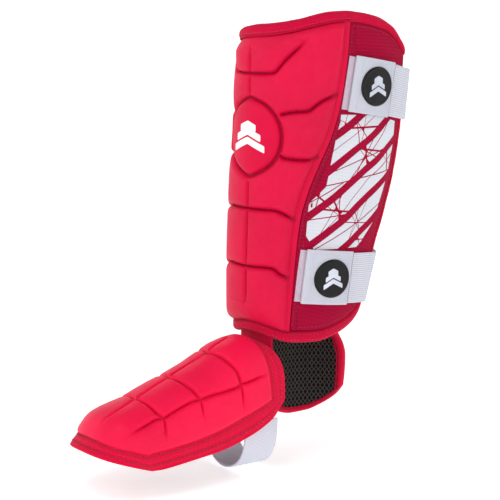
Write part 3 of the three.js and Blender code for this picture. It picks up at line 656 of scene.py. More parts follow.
T_RED = thread("red_thread", (214, 30, 76)); T_DARK = thread("dark_red_thread", (150, 6, 46)); T_MID = thread("mid_red_thread", (176, 8, 54)); T_WHITE = thread("white_thread", (208, 209, 218)); T_PINK = thread("bright_red_thread", (244, 70, 108))
T_BLACK = thread("black_thread", (26, 24, 24))


def ripple(x, amp, *waves):
    """Small smooth unevenness that real sewn edges have."""
    return amp * sum(math.sin(p) * 0 + np.sin(2 * math.pi * x / L + p) * k for L, k, p in waves)


SG, FG = "shin_guard", "foot_guard"
OVER = lambda s: bottom(s) + 11.7 + 1.2 * smooth(95, 112, s)
UNDER = lambda s: seamTop(s) - 0.3


def place(uu, vv, sLo, sHi, zLo, zHi):
    U, V = np.meshgrid(uu, vv, indexing="ij")
    z = lerp(30, 280, V)
    for _ in range(10):
        s = lerp(sLo(z), sHi(z), U); z = lerp(zLo(s), zHi(s), V)
    return s, z


def shin_slab(name, s, z, front, back, mat, h=None, **kw):
    return slab_mesh(name, shin(s, z, front), shin(s, z, back), np.stack([s, z, np.zeros_like(s)], -1), h=h, mat=mat, **kw)


# ---------------------------------------------------------------- moulded shin shell
top_off = table([20, 44, 71, 101, 127, 145, 170, 196, 220, 240, 263, 280, 296], [8.5, 9.4, 11.2, 12.2, 12.6, 12.4, 13.6, 14.4, 13.8, 13.9, 12, 9.6, 8.6])
base_off = table([20, 54, 75, 95, 116, 128, 145, 165, 181, 195, 220, 240, 266, 292], [3.6, 4.0, 4.3, 4.8, 5.4, 5.8, 6.4, 6.6, 6.2, 5.4, 5.2, 5.0, 4.6, 5.0])
RING_Z = 193.0


def ring_radius(th):
    """Groove round the emblem: a slightly tall oval with a point below and a smaller one above."""
    r = 30.2 * 33.2 / np.hypot(33.2 * np.cos(th), 30.2 * np.sin(th))
    return r + 2.4 * np.exp(-((np.mod(th + math.pi / 2 + math.pi, 2 * math.pi) - math.pi) / 0.20) ** 2) + 1.4 * np.exp(-((np.mod(th - math.pi / 2 + math.pi, 2 * math.pi) - math.pi) / 0.16) ** 2)


GROOVES = [  # points, depth, half flat, edge radius, fade at start, fade at end
    ([(0, 152), (0, 100), (0, 38)], 2.8, 0.6, 2.8, 0.0, 0.12),
    ([(0, 279), (0, 262), (0, 229)], 2.6, 0.6, 2.8, 0.35, 0.0),
    ([(-3, 248.8), (14, 249.0), (23.5, 249.9), (27.6, 254), (33, 260.6), (39.6, 267.2), (47.2, 274.6), (55.5, 283)], 4.6, 0.6, 4.4, 0.0, 0.30),
    ([(30, 213.5), (39.8, 215.6), (49.2, 216.4), (53.8, 217.8), (60.4, 223.4), (68, 228), (76, 231)], 5.0, 0.7, 4.6, 0.0, 0.0),
    ([(29, 177), (33.2, 174.8), (45, 173.6), (53, 173.9), (60, 175.8)], 5.0, 0.7, 4.6, 0.0, 0.0),
    ([(-3, 128.6), (12, 128.4), (23.6, 128.2), (29.6, 126.4), (34.8, 123.4), (40, 120.2)], 5.0, 0.6, 4.4, 0.0, 0.0),
    ([(-3, 76.4), (12, 76.6), (20, 76.5), (24.8, 75.4), (29.6, 71.4), (35.5, 68)], 5.0, 0.6, 4.4, 0.0, 0.0),
]


def shell_height(s, z):
    seam = np.where(s >= 0, l1(z), seamM(z))
    q = np.abs(s) * l1(z) / seam                      # the medial side follows the lateral layout
    d = l1(z) - q
    x = (d - base_off(z)) / (top_off(z) - base_off(z))
    ramp = 0.74 * rounding(np.clip(x, 0, 1), 1.0) * 0.35 + 0.74 * 0.65 * np.clip(x * 1.12, 0, 1) + 0.26 * smooth(-0.12, 1.22, x)
    w = lerp(2.6, 8.0, np.clip(ramp, 0, 1))
    crease = np.exp(-(x * (top_off(z) - base_off(z)) / 1.7) ** 2) * smooth(1.5, 5.0, d)
    w = w - 0.55 * crease
    # the flange next to the seam is a thin flat lip with a soft edge
    w = np.where(d < 1.2, lerp(1.9, 2.6, rounding(np.maximum(d, 0), 1.2)), w)
    P = np.stack([q, z], -1)
    cut = np.zeros_like(s); crown = np.full(s.shape, 1e9)
    for pts, depth, flat, r, f0, f1 in GROOVES:
        dist, along = polydist(P, smoothline(pts, 6))
        fade = np.ones_like(s)
        if f0: fade *= smooth(0, f0, along)
        if f1: fade *= 1 - smooth(1 - f1, 1, along)
        prof = 1 - rounding(np.maximum(dist - flat, 0), r)
        cut = np.maximum(cut, depth * fade * prof)
        crown = np.minimum(crown, np.where(fade > 0.4, dist, 99))
    # ring round the emblem
    th = np.arctan2(z - RING_Z, q * np.sign(s + 1e-9)); rr = np.hypot(q, z - RING_Z) - ring_radius(th)
    ringcut = np.where(rr < 0, 1.0, 1 - rounding(np.maximum(rr - 0.9, 0), 4.8))
    cut = np.maximum(cut, 4.7 * ringcut)
    crown = np.minimum(crown, np.maximum(rr, 0))
    crown = np.minimum(crown, np.maximum(d - top_off(z), 0) + 3)
    # colour mask for the skin: low in the grooves and in the crease at the foot of the bevel, where the material paints
    # shade and shadow; high on the panel tops, where it adds rub wear
    shell_height.rel = np.clip(lerp(0.72, 1.0, np.clip(ramp, 0, 1)) - 0.19 * cut - 0.34 * crease, 0, 1)
    w = w - np.minimum(cut, np.maximum(w - 2.4, 0)) + 0.75 * smooth(2, 16, crown)
    # ends: a long soft shoulder above, a rounded toe below
    high, low = UNDER(s) - z, z - OVER(s)
    Lt = lerp(17, 6, smooth(6, 46, q)); Lb = lerp(17, 9, smooth(5, 30, q))
    w = lerp(3.2, w, 0.5 * np.clip(high / Lt, 0, 1) + 0.5 * np.sin(math.pi / 2 * np.clip(high / Lt, 0, 1)))
    w = lerp(2.2, w, rounding(np.maximum(low, 0), Lb))
    return w


def build_shell():
    nu, nv = ((230, 380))
    s, z = place(np.linspace(0, 1, nu + 1), np.linspace(0, 1, nv + 1), lambda z: -seamM(z) + 0.15, lambda z: l1(z) - 0.15, OVER, UNDER)
    w = shell_height(s, z)
    rel = shell_height.rel
    ob = shin_slab("shin_shell_skin", s, z, w, np.full_like(s, 1.4), M_SHELL, h=rel, sharp=60)
    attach(ob, SG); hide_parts("shin_shell")
    # foam core behind it
    s, z = place(ends(46, 0.02), ends(80, 0.012), lambda z: -seamM(z) + 0.2, lambda z: l1(z) - 0.2, OVER, UNDER)
    f = np.minimum(rounding(np.minimum(s + seamM(z), l1(z) - s), 2.0), rounding(np.minimum(z - OVER(s), UNDER(s) - z), 2.0))
    ob = shin_slab("shin_foam_core", s, z, lerp(-4.7, -1.75, f), lerp(-4.7, -7.6, f), M_FOAM)
    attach(ob, SG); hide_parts("shin_foam")
    bpy.data.objects["shin_plate"].data.materials.clear(); bpy.data.objects["shin_plate"].data.materials.append(M_PLATE)


def build_emblem():
    n = 90
    th = np.linspace(0, 2 * math.pi, 2 * n, endpoint=False)
    rho = np.concatenate([[0.004], np.linspace(0.05, 0.80, 18), 1 - 0.2 * (1 - np.sin(np.linspace(0.06, math.pi / 2, 14)))])
    TH, R = np.meshgrid(th, rho, indexing="ij")
    edge = ring_radius(TH) - 1.3
    x = edge * R * np.cos(TH); y = RING_Z + edge * R * np.sin(TH)
    dist = edge * (1 - R)
    front = 3.75 + 4.35 * rounding(dist, 5.2) + 0.85 * (1 - R ** 2)
    ob = slab_mesh("emblem_medallion", shin(x, y, front), shin(x, y, np.full_like(x, 3.7)), np.stack([x, y, front], -1), mat=M_DISC, wrap_u=True, sharp=50)
    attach(ob, SG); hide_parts("emblem_disc")

    def top(x, y, w):
        t = np.arctan2(y - RING_Z, x); e = ring_radius(t) - 1.3; r = np.hypot(x, y - RING_Z) / e
        return shin(x, y, 3.75 + 4.35 * rounding(e * (1 - r), 5.2) + 0.85 * (1 - r ** 2) + w)
    d = decal("emblem_mark", mark(0, 191.5, 16.5, 12.5), top, -0.15, 0.28, M_MARK, 1.6)
    d.parent = ob


def rounded(poly, r, n=5):
    """Polygon with its corners rounded."""
    P = np.array(poly, float); out = []
    for i in range(len(P)):
        a, b, c = P[i - 1], P[i], P[(i + 1) % len(P)]
        u = (a - b) / np.linalg.norm(a - b); v = (c - b) / np.linalg.norm(c - b)
        k = min(r, 0.45 * np.linalg.norm(a - b), 0.45 * np.linalg.norm(c - b))
        for t in np.linspace(0, 1, n):
            out.append((1 - t) ** 2 * (b + u * k) + 2 * t * (1 - t) * b + t ** 2 * (b + v * k))
    return np.array(out)


def mark(cx, cy, hw, hh):
    """Generic mark: three stacked upward chevrons that get shorter."""
    out = []
    for k, (half, y0) in enumerate([(1.0, -1.0), (0.78, -0.22), (0.5, 0.46)]):
        a = half; th = 0.5; rise = 0.62 * half
        out.append([(cx + hw * x, cy + hh * y) for x, y in [(-a, y0), (0, y0 + rise), (a, y0), (a, y0 + th), (0, y0 + rise + th), (-a, y0 + th)]])
    return [rounded(p, 1.0 if hw > 12 else 0.6, 3) for p in out]


# ---------------------------------------------------------------- soft rolls and wings
def rolled(name, centre, hz, hw, pz=0.8, nphi=28, caps=5.0, mat=None, surf=shin, axis="z", lens=None):
    """A padded roll that follows the shin surface. centre is (s, z, w) rows, hz and hw the half sizes along the surface and through it."""
    s, z, w = (np.asarray(c, float) for c in centre)
    P0 = surf(s, z, w); L = np.concatenate([[0], np.cumsum(np.linalg.norm(np.diff(P0, axis=0), axis=1))])
    cap = np.maximum(rounding(L + 0.05, caps) * rounding(L[-1] - L + 0.05, caps), 0.03)
    ph = np.linspace(0, 2 * math.pi, nphi, endpoint=False)
    c, sn = np.cos(ph), np.sin(ph)
    c = np.sign(c) * np.abs(c) ** pz; sn = np.sign(sn) * np.abs(sn) ** pz
    k1 = (np.broadcast_to(hz, s.shape) * cap)[:, None] * c; k2 = (np.broadcast_to(hw, s.shape) * cap)[:, None] * sn
    if axis == "z":
        S = np.repeat(s[:, None], nphi, 1); ZZ = z[:, None] + k1
    else:
        S = s[:, None] + k1; ZZ = np.repeat(z[:, None], nphi, 1)
    W = w[:, None] + k2
    V = surf(S, ZZ, W); n = len(s)
    F = grid_faces(nphi, n, 0, True)           # built with phi as the wrapped direction
    V = V.transpose(1, 0, 2)
    st = np.stack([S, ZZ, W], -1).transpose(1, 0, 2)
    capf = [tuple(int(i) * n for i in range(nphi)), tuple(int(i) * n + n - 1 for i in range(nphi))]
    return make(name, V, F.tolist() + capf, st, mat=mat, sharp=70)


def puff(name, points, nu, nv, pressure=3.0, free=None, frames=14):
    """Cloth simulation of a closed padded panel: points(u, v) gives its front and back grids in millimetres.
    Returns how far each front point swelled along the panel's normal. Rim points and those where free is False are pinned."""
    front, back = points
    ob = slab_mesh(name + "_sim", front, back, merge=False, mat=None)
    me = ob.data; n = nu * nv
    rim = np.zeros((nu, nv), bool); rim[[0, -1], :] = True; rim[:, [0, -1]] = True
    if free is not None:
        rim |= ~free
    vg = ob.vertex_groups.new(name="pin")
    vg.add([int(i) for i in np.flatnonzero(rim.reshape(-1))] , 1.0, "REPLACE")
    vg.add([int(i) + n for i in range(n)], 1.0, "REPLACE")       # the back lies on the foam and stays
    md = ob.modifiers.new("cloth", "CLOTH"); cs = md.settings
    cs.vertex_group_mass = "pin"; cs.use_pressure = True; cs.uniform_pressure_force = pressure
    cs.effector_weights.gravity = 0.0; cs.quality = 4; cs.mass = 0.25
    cs.tension_stiffness = 12; cs.compression_stiffness = 12; cs.shear_stiffness = 6; cs.bending_stiffness = 0.4
    cs.shrink_min = -0.03
    md.collision_settings.use_collision = False; md.collision_settings.use_self_collision = False
    md.point_cache.frame_start = 1; md.point_cache.frame_end = frames
    sc_ = bpy.context.scene
    for f in range(1, frames + 1):
        sc_.frame_set(f)
    dg = bpy.context.evaluated_depsgraph_get(); ev = ob.evaluated_get(dg)
    co = np.zeros(len(ev.data.vertices) * 3); ev.data.vertices.foreach_get("co", co)
    moved = co.reshape(-1, 3)[:n].reshape(nu, nv, 3) * 1000
    nrm = front - back; nrm /= np.linalg.norm(nrm, axis=-1, keepdims=True) + 1e-9
    d = ((moved - front) * nrm).sum(-1)
    bpy.data.objects.remove(ob); bpy.data.meshes.remove(me); sc_.frame_set(1)
    return d


def field(uu, vv, D):
    """Bilinear lookup of a grid over 0..1."""
    nu, nv = D.shape
    x = np.clip(uu, 0, 1) * (nu - 1); y = np.clip(vv, 0, 1) * (nv - 1)
    i = np.minimum(x.astype(int), nu - 2); j = np.minimum(y.astype(int), nv - 2); a = x - i; b = y - j
    return (D[i, j] * (1 - a) + D[i + 1, j] * a) * (1 - b) + (D[i, j + 1] * (1 - a) + D[i + 1, j + 1] * a) * b


def blur(D, times=2):
    for _ in range(times):
        E = np.pad(D, 1, mode="edge"); D = (E[:-2, 1:-1] + E[2:, 1:-1] + E[1:-1, :-2] + E[1:-1, 2:] + 2 * D) / 6
    return D


STRAPS = {
    "upper": dict(z0=240.4, s0=91, slope=-0.165, fold=91, tabEnd=136.5, patch=85.5, badge=(117.0, 237.0), zBack=227.5, lean=0.075),
    "lower": dict(z0=68.7, s0=50, slope=-0.115, fold=50, tabEnd=96.5, patch=44.5, badge=(76.6, 65.2), zBack=59.6, lean=0.06),
}


def strap_zone(s, z, pad=3.0):
    """0 under a strap on the lateral wing, 1 well clear of it."""
    out = np.ones(np.broadcast(s, z).shape)
    for c in STRAPS.values():
        zc = c["z0"] + c["slope"] * (s - c["s0"])
        zc = np.where(s > c["tabEnd"], lerp(c["z0"] + c["slope"] * (c["tabEnd"] - c["s0"]), c["zBack"], np.clip((s - c["tabEnd"]) / np.maximum(edgeL(c["zBack"]) - c["tabEnd"], 1), 0, 1)), zc)
        dz = np.abs(z - zc) - 24 - pad; ds = c["patch"] - pad - s
        out = np.minimum(out, smooth(0, 9, np.maximum(dz, ds)))
    return out


def wing_base(s, z, side):
    """Height of the wing's face without its puff: a welt along the shell's seam and a stitched channel beside it."""
    q = np.abs(s); seam = l1(z) if side > 0 else seamM(z); edge = (edgeL(z) if side > 0 else edgeM(z)) - 5.9
    d = q - seam - 0.15
    top, bot, rear = UNDER(s) - z, z - OVER(s), edge - q
    free = strap_zone(s, z) if side > 0 else np.where(np.abs(z - 227.5) < 30, smooth(24, 30, np.abs(z - 227.5)), 1) * np.where(np.abs(z - 59.6) < 30, smooth(24, 30, np.abs(z - 59.6)), 1)
    if side < 0:
        free = np.maximum(free, smooth(edgeM(z) - 40, edgeM(z) - 46, q) if False else np.where(q < edgeM(z) - 44, 1.0, free))
    near = np.minimum(np.minimum(top, bot), np.minimum(rear, d))
    w = 0.15 + 0.0 * s
    welt = np.where((d < 5.2), 1.5 * rounding(np.maximum(d, 0), 1.4) * rounding(np.maximum(5.2 - d, 0), 1.6), 0)
    w = w + welt * lerp(0.25, 1.0, free)
    w = w - 0.5 * np.exp(-((d - 6.0) / 0.7) ** 2) * lerp(0.3, 1, free)
    w = np.minimum(w, lerp(-1.6, w, rounding(np.maximum(np.minimum(np.minimum(top, bot), rear), 0), 2.0)))
    return w, free, near


def build_wing(side):
    name = "lateral" if side > 0 else "medial"
    if side > 0:
        lo, hi = (lambda z: l1(z) + 0.15), (lambda z: edgeL(z) - 5.9)
    else:
        lo, hi = (lambda z: -edgeM(z) + 5.9), (lambda z: -seamM(z) - 0.15)
    # cloth simulation on a coarse panel
    nu, nv = 30, 64
    D = np.zeros((nu, nv))
    s, z = place(np.linspace(0, 1, nu), np.linspace(0, 1, nv), lo, hi, OVER, UNDER)
    w, free, near = wing_base(s, z, side)
    fr = (free > 0.15) & (near > 6)
    D = puff(name, (shin(s, z, w * 0), shin(s, z, w * 0 - 6.0)), nu, nv, 2.6, fr)
    D = np.clip(D, -0.6, 3.2)
    top = max(1e-6, np.percentile(D, 97)); D = D / top * 2.0
    D = blur(D, 2)
    uu = np.linspace(0, 1, 110); vv = ends(200, 0.012, 4)
    if side > 0:
        uu = np.concatenate([np.linspace(0, 0.14, 34), np.linspace(0.14, 1, 84)[1:]])
    else:
        uu = np.concatenate([np.linspace(0, 0.88, 84), np.linspace(0.88, 1, 34)[1:]])
    s, z = place(uu, vv, lo, hi, OVER, UNDER)
    w, free, near = wing_base(s, z, side)
    U, V = np.meshgrid(uu, vv, indexing="ij")
    add = field(U, V, D) * smooth(3, 10, near) * free
    add = add + 0.12 * np.sin(s / 7.0 + z / 13.0) * smooth(4, 16, near) * free + 0.10 * np.sin(s / 11.0 - z / 9.0 + 1.0) * smooth(4, 16, near) * free
    w = w + add
    back = -4.6 - 3.0 * rounding(np.minimum(np.minimum(z - OVER(s), UNDER(s) - z), 3) + 0.0, 2.0)
    ob = shin_slab(name + "_wing_panel", s, z, w, back, M_WING, sharp=55)
    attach(ob, SG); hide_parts(name + "_wing")

    def height(S, Zz):
        u = (S - lo(Zz)) / (hi(Zz) - lo(Zz)); v = (Zz - OVER(S)) / (UNDER(S) - OVER(S))
        ui = np.interp(u, uu, np.arange(len(uu))) / (len(uu) - 1); vi = np.interp(v, vv, np.arange(len(vv))) / (len(vv) - 1)
        return field(ui, vi, w)

    def top(S, Zz, W):
        return shin(S, Zz, height(S, Zz) + W)
    # stitch rows: beside the welt, and round the other borders
    q = 1 if side > 0 else -1
    zs = np.linspace(24, 288, 400)
    seam = (l1 if side > 0 else seamM)
    rows = []

    def row(S, Zz, **kw):
        ok = (Zz > OVER(S) + 1.5) & (Zz < UNDER(S) - 1.5) & (strap_zone(S, Zz, 1.0) > 0.02 if side > 0 else True)
        run = []
        for i in range(len(S) + 1):
            if i < len(S) and ok[i]:
                run.append(i)
            elif len(run) > 6:
                P = top(S[run], Zz[run], 0.02); N = P - top(S[run], Zz[run], -1.0)
                rows.append(stitch_row(P, N, **kw)); run = []
            else:
                run = []
    row(q * (seam(zs) + 6.0), zs, length=2.6, gap=1.1)
    row(q * (seam(zs) + 2.4), zs, length=2.0, gap=1.6)
    edge = (edgeL if side > 0 else edgeM)
    row(q * (edge(zs) - 8.4), zs, length=2.6, gap=1.1)
    ss = np.linspace(seam(250) + 8, edge(250) - 10, 140) * q
    row(ss, UNDER(ss) - 3.0, length=2.6, gap=1.1)
    ss = np.linspace(seam(30) + 8, edge(30) - 10, 140) * q
    row(ss, OVER(ss) + 3.4, length=2.6, gap=1.1)
    stt = stitches(name + "_wing_stitching", rows, 0.30, T_DARK)
    stt.parent = ob
    # the screen print
    polys = shards(side)
    pr = decal(name + "_wing_print", polys, top, 0.02, 0.14, M_PRINT, 3.0)
    pr.parent = ob
    return top


def clip(poly, p, nrm, off=0.0):
    """Part of a convex polygon where (x - p) . nrm > off."""
    out = []
    d = [(np.array(a) - p) @ nrm - off for a in poly]
    for i in range(len(poly)):
        a, b = np.array(poly[i]), np.array(poly[(i + 1) % len(poly)]); da, db = d[i], d[(i + 1) % len(poly)]
        if da > 0: out.append(a)
        if da * db < 0: out.append(a + (b - a) * da / (da - db))
    return out


def area(p):
    p = np.array(p); return 0.5 * abs(np.dot(p[:, 0], np.roll(p[:, 1], -1)) - np.dot(p[:, 1], np.roll(p[:, 0], -1)))


def shatter(poly, cracks, rng):
    """Convex polygon cut into splinters by straight cracks of varying width."""
    parts = [poly]
    for (p, ang, gap) in cracks:
        nrm = np.array([-math.sin(ang), math.cos(ang)]); nxt = []
        for q in parts:
            a, b = clip(q, p, nrm, gap * 0.68), clip(q, p, -nrm, gap * 0.68)
            nxt += [x for x in (a, b) if len(x) > 2 and area(x) > 3.0]
        parts = nxt
    return parts


def shards(side):
    rng = np.random.default_rng(21 if side > 0 else 33)
    if side > 0:
        # evenly spaced slanted bars, cut to the printed area
        areas = [[(82, 213), (123, 211), (150, 204), (149, 178), (144, 160), (70, 150)],
                 [(70, 149), (143, 158.8), (136, 134), (130, 116), (113, 96), (106, 91), (60, 92), (52, 105), (53.5, 134)]]
        ang = math.radians(34); nrm = np.array([-math.sin(ang), math.cos(ang)]); blocks = []
        for region in areas:
            for c0 in np.arange(-40, 200, 23.0):
                q = clip([np.array(v, float) for v in region], nrm * c0, nrm, 0)
                q = clip(q, nrm * (c0 + 16.0), -nrm, 0) if len(q) > 2 else []
                if len(q) > 2 and area(q) > 60:
                    m = np.mean(q, 0); blocks.append((q, (m[0], m[1]), int(min(7, 2 + area(q) / 260))))
    else:
        blocks = [([(-104, 206), (-124, 203), (-108, 180)], (-112, 196), 3),
                  ([(-92, 172), (-112, 150), (-96, 132), (-80, 150)], (-96, 151), 5),
                  ([(-76, 128), (-98, 110), (-90, 92), (-70, 95)], (-82, 106), 5)]
    out = []
    for poly, hub, k in blocks:
        c = np.mean(poly, 0)
        poly = [np.array(p, float) for p in poly]
        cracks = []
        a0 = rng.uniform(0, math.pi)
        for i in range(k):
            a = a0 + i * math.pi / max(k, 1) + rng.uniform(-0.22, 0.22)
            off = rng.normal(0, 2.6, 2)
            cracks.append((np.array(hub, float) + off, a, rng.choice([0.45, 0.7, 1.3])))
        for q in shatter(poly, cracks, rng):
            out.append(np.array(q))
    good = []
    for p in out:                      # drop points that coincide
        keep = [p[0]]
        for x in p[1:]:
            if np.linalg.norm(x - keep[-1]) > 0.15: keep.append(x)
        if len(keep) > 2 and np.linalg.norm(keep[0] - keep[-1]) < 0.15: keep = keep[:-1]
        if len(keep) > 2 and area(keep) > 2.5: good.append(np.array(keep))
    return good


def build_rolls():
    # collar
    s = np.linspace(float(-edgeM(252)) + 1.2, 162.6, 300)
    lo, hi = seamTop(s) + 0.1, collarTop(s)
    front = smooth(-float(seamM(290)) - 12, -float(seamM(290)) + 14, s) * (1 - smooth(float(l1(290)) - 14, float(l1(290)) + 12, s))
    face = lerp(2.4, 6.5, front) + ripple(s, 0.16, (37, 1, 0.4), (23, 0.7, 1.9), (13, 0.5, 2.2)); backw = -9.7
    hz = (hi - lo) / 2 + 0.9 + ripple(s, 0.10, (29, 1, 1.0), (17, 0.8, 0.2))
    ob = rolled("collar_roll", (s, (hi + lo) / 2, (face + backw) / 2), hz, (face - backw) / 2, 0.86, 34, 15, M_COLLAR)
    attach(ob, SG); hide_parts("top_collar")
    # welt cord and stitching between the collar and the shell
    ss = np.linspace(-float(seamM(290)) + 1, float(l1(290)) - 1, 260)
    L = shin(ss, seamTop(ss) + 0.5, np.full_like(ss, 4.7)); t = tube("collar_welt", [L], 0.95, M_BINDLO, 10)
    t.parent = ob
    P = shin(ss, seamTop(ss) + 2.5, np.full_like(ss, 6.1)); N = P - shin(ss, seamTop(ss) + 2.5, np.full_like(ss, 5.0))
    st_ = stitches("collar_stitching", [stitch_row(P, N, 2.2, 1.0)], 0.26, T_RED); st_.parent = ob
    # bottom lip
    u = np.linspace(0, 1, 300); z = np.full_like(u, 20.0)
    for _ in range(10):
        s = lerp(-edgeM(z) + 0.7, np.minimum(edgeL(z), 124.3), u); z = bottom(s) + 5.5
    front = smooth(-66, -54, s) * (1 - smooth(36, 48, s))
    face = lerp(0.5, 2.4, front) + ripple(s, 0.08, (31, 1, 0.4), (19, 0.7, 1.9)); backw = -9.7
    ob = rolled("bottom_lip_roll", (s, bottom(s) + 5.7, (face + backw) / 2), np.full_like(s, 5.6), (face - backw) / 2, 0.80, 34, 4, M_COLLAR)
    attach(ob, SG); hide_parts("bottom_lip")
    ss = s[6:-6]; zz = bottom(ss) + 8.7
    P = shin(ss, zz, face[6:-6] - 0.35); N = P - shin(ss, zz, face[6:-6] - 1.5)
    a = stitches("bottom_lip_stitching", [stitch_row(P, N, 2.4, 1.1)], 0.28, T_DARK); a.parent = ob
    zz = bottom(ss) + 3.2; P = shin(ss, zz, face[6:-6] - 0.45); N = P - shin(ss, zz, face[6:-6] - 1.5)
    a = stitches("bottom_lip_stitching_low", [stitch_row(P, N, 2.4, 1.1)], 0.26, T_RED); a.parent = ob
    # crease cord where the shell meets the lip
    ss = np.linspace(-float(seamM(20)), float(l1(20)), 200)
    t = tube("bottom_lip_welt", [shin(ss, OVER(ss) - 0.35, np.full_like(ss, 2.0))], 0.8, M_BINDLO, 10); t.parent = ob
    # back edges of the wings
    for nm, edge, q, z0, z1 in (("lateral", edgeL, 1, 48.2, 250), ("medial", edgeM, -1, 41.5, 243)):
        zz = np.linspace(z0 - 1, z1 + 1, 240)
        if q > 0: zz = np.linspace(47, 251, 240)
        ob = rolled(nm + "_edge_roll", (q * (edge(zz) - 2.5), zz, np.full_like(zz, -4.7)), 2.6 + ripple(zz, 0.05, (27, 1, 0.4)), 5.3 + ripple(zz, 0.08, (33, 1, 0.4), (15, 0.7, 1)), 0.84, 26, 2.5, M_COLLAR, axis="s")
        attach(ob, SG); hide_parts(nm + "_edge_binding")
        s1 = q * (edge(zz[4:-4]) - 4.2); keep = np.ones(len(s1), bool)
        if q > 0: keep = strap_zone(s1, zz[4:-4], 1.0) > 0.02
        rows = []; idx = np.flatnonzero(keep)
        for run in np.split(idx, np.flatnonzero(np.diff(idx) > 1) + 1):
            if len(run) > 6:
                P = shin(s1[run], zz[4:-4][run], 0.42); rows.append(stitch_row(P, P - shin(s1[run], zz[4:-4][run], -1.0), 2.4, 1.1))
        a = stitches(nm + "_edge_stitching", rows, 0.26, T_RED); a.parent = ob


def build_liner():
    s, z = place(np.linspace(0, 1, 220), np.linspace(0, 1, 150), lambda z: -edgeM(z) + 5.9, lambda z: edgeL(z) - 5.9, OVER, UNDER)
    e = np.minimum(np.minimum(s + edgeM(z) - 5.9, edgeL(z) - 5.9 - s), np.minimum(z - OVER(s), UNDER(s) - z))
    # quilted: shallow channels between the pads
    dz = np.abs(np.mod(z - 30, 52) - 26); ds = np.abs(np.mod(s + 200, 44) - 22)
    ch = np.exp(-((26 - dz) / 2.2) ** 2) + np.exp(-((22 - ds) / 2.2) ** 2)
    w = -9.2 - 0.55 * smooth(0, 12, e) * (1 - 0.9 * np.clip(ch, 0, 1)) * smooth(0, 3, e)
    ob = shin_slab("leg_lining", s, z, np.full_like(s, -8.2), w, M_LINER)
    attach(ob, SG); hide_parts("shin_liner")


# ---------------------------------------------------------------- straps
def by_length(P, n=0):
    d = np.concatenate([[0], np.cumsum(np.linalg.norm(np.diff(P, axis=0), axis=1))])

    def at(t):
        x = np.asarray(t) * d[-1]
        return np.stack([np.interp(x, d, P[:, k]) for k in range(3)], -1)
    return at, d[-1]


def bez(p0, p1, p2, p3, n=500):
    t = np.linspace(0, 1, n)[:, None]
    return (1 - t) ** 3 * p0 + 3 * (1 - t) ** 2 * t * p1 + 3 * (1 - t) * t * t * p2 + t ** 3 * p3


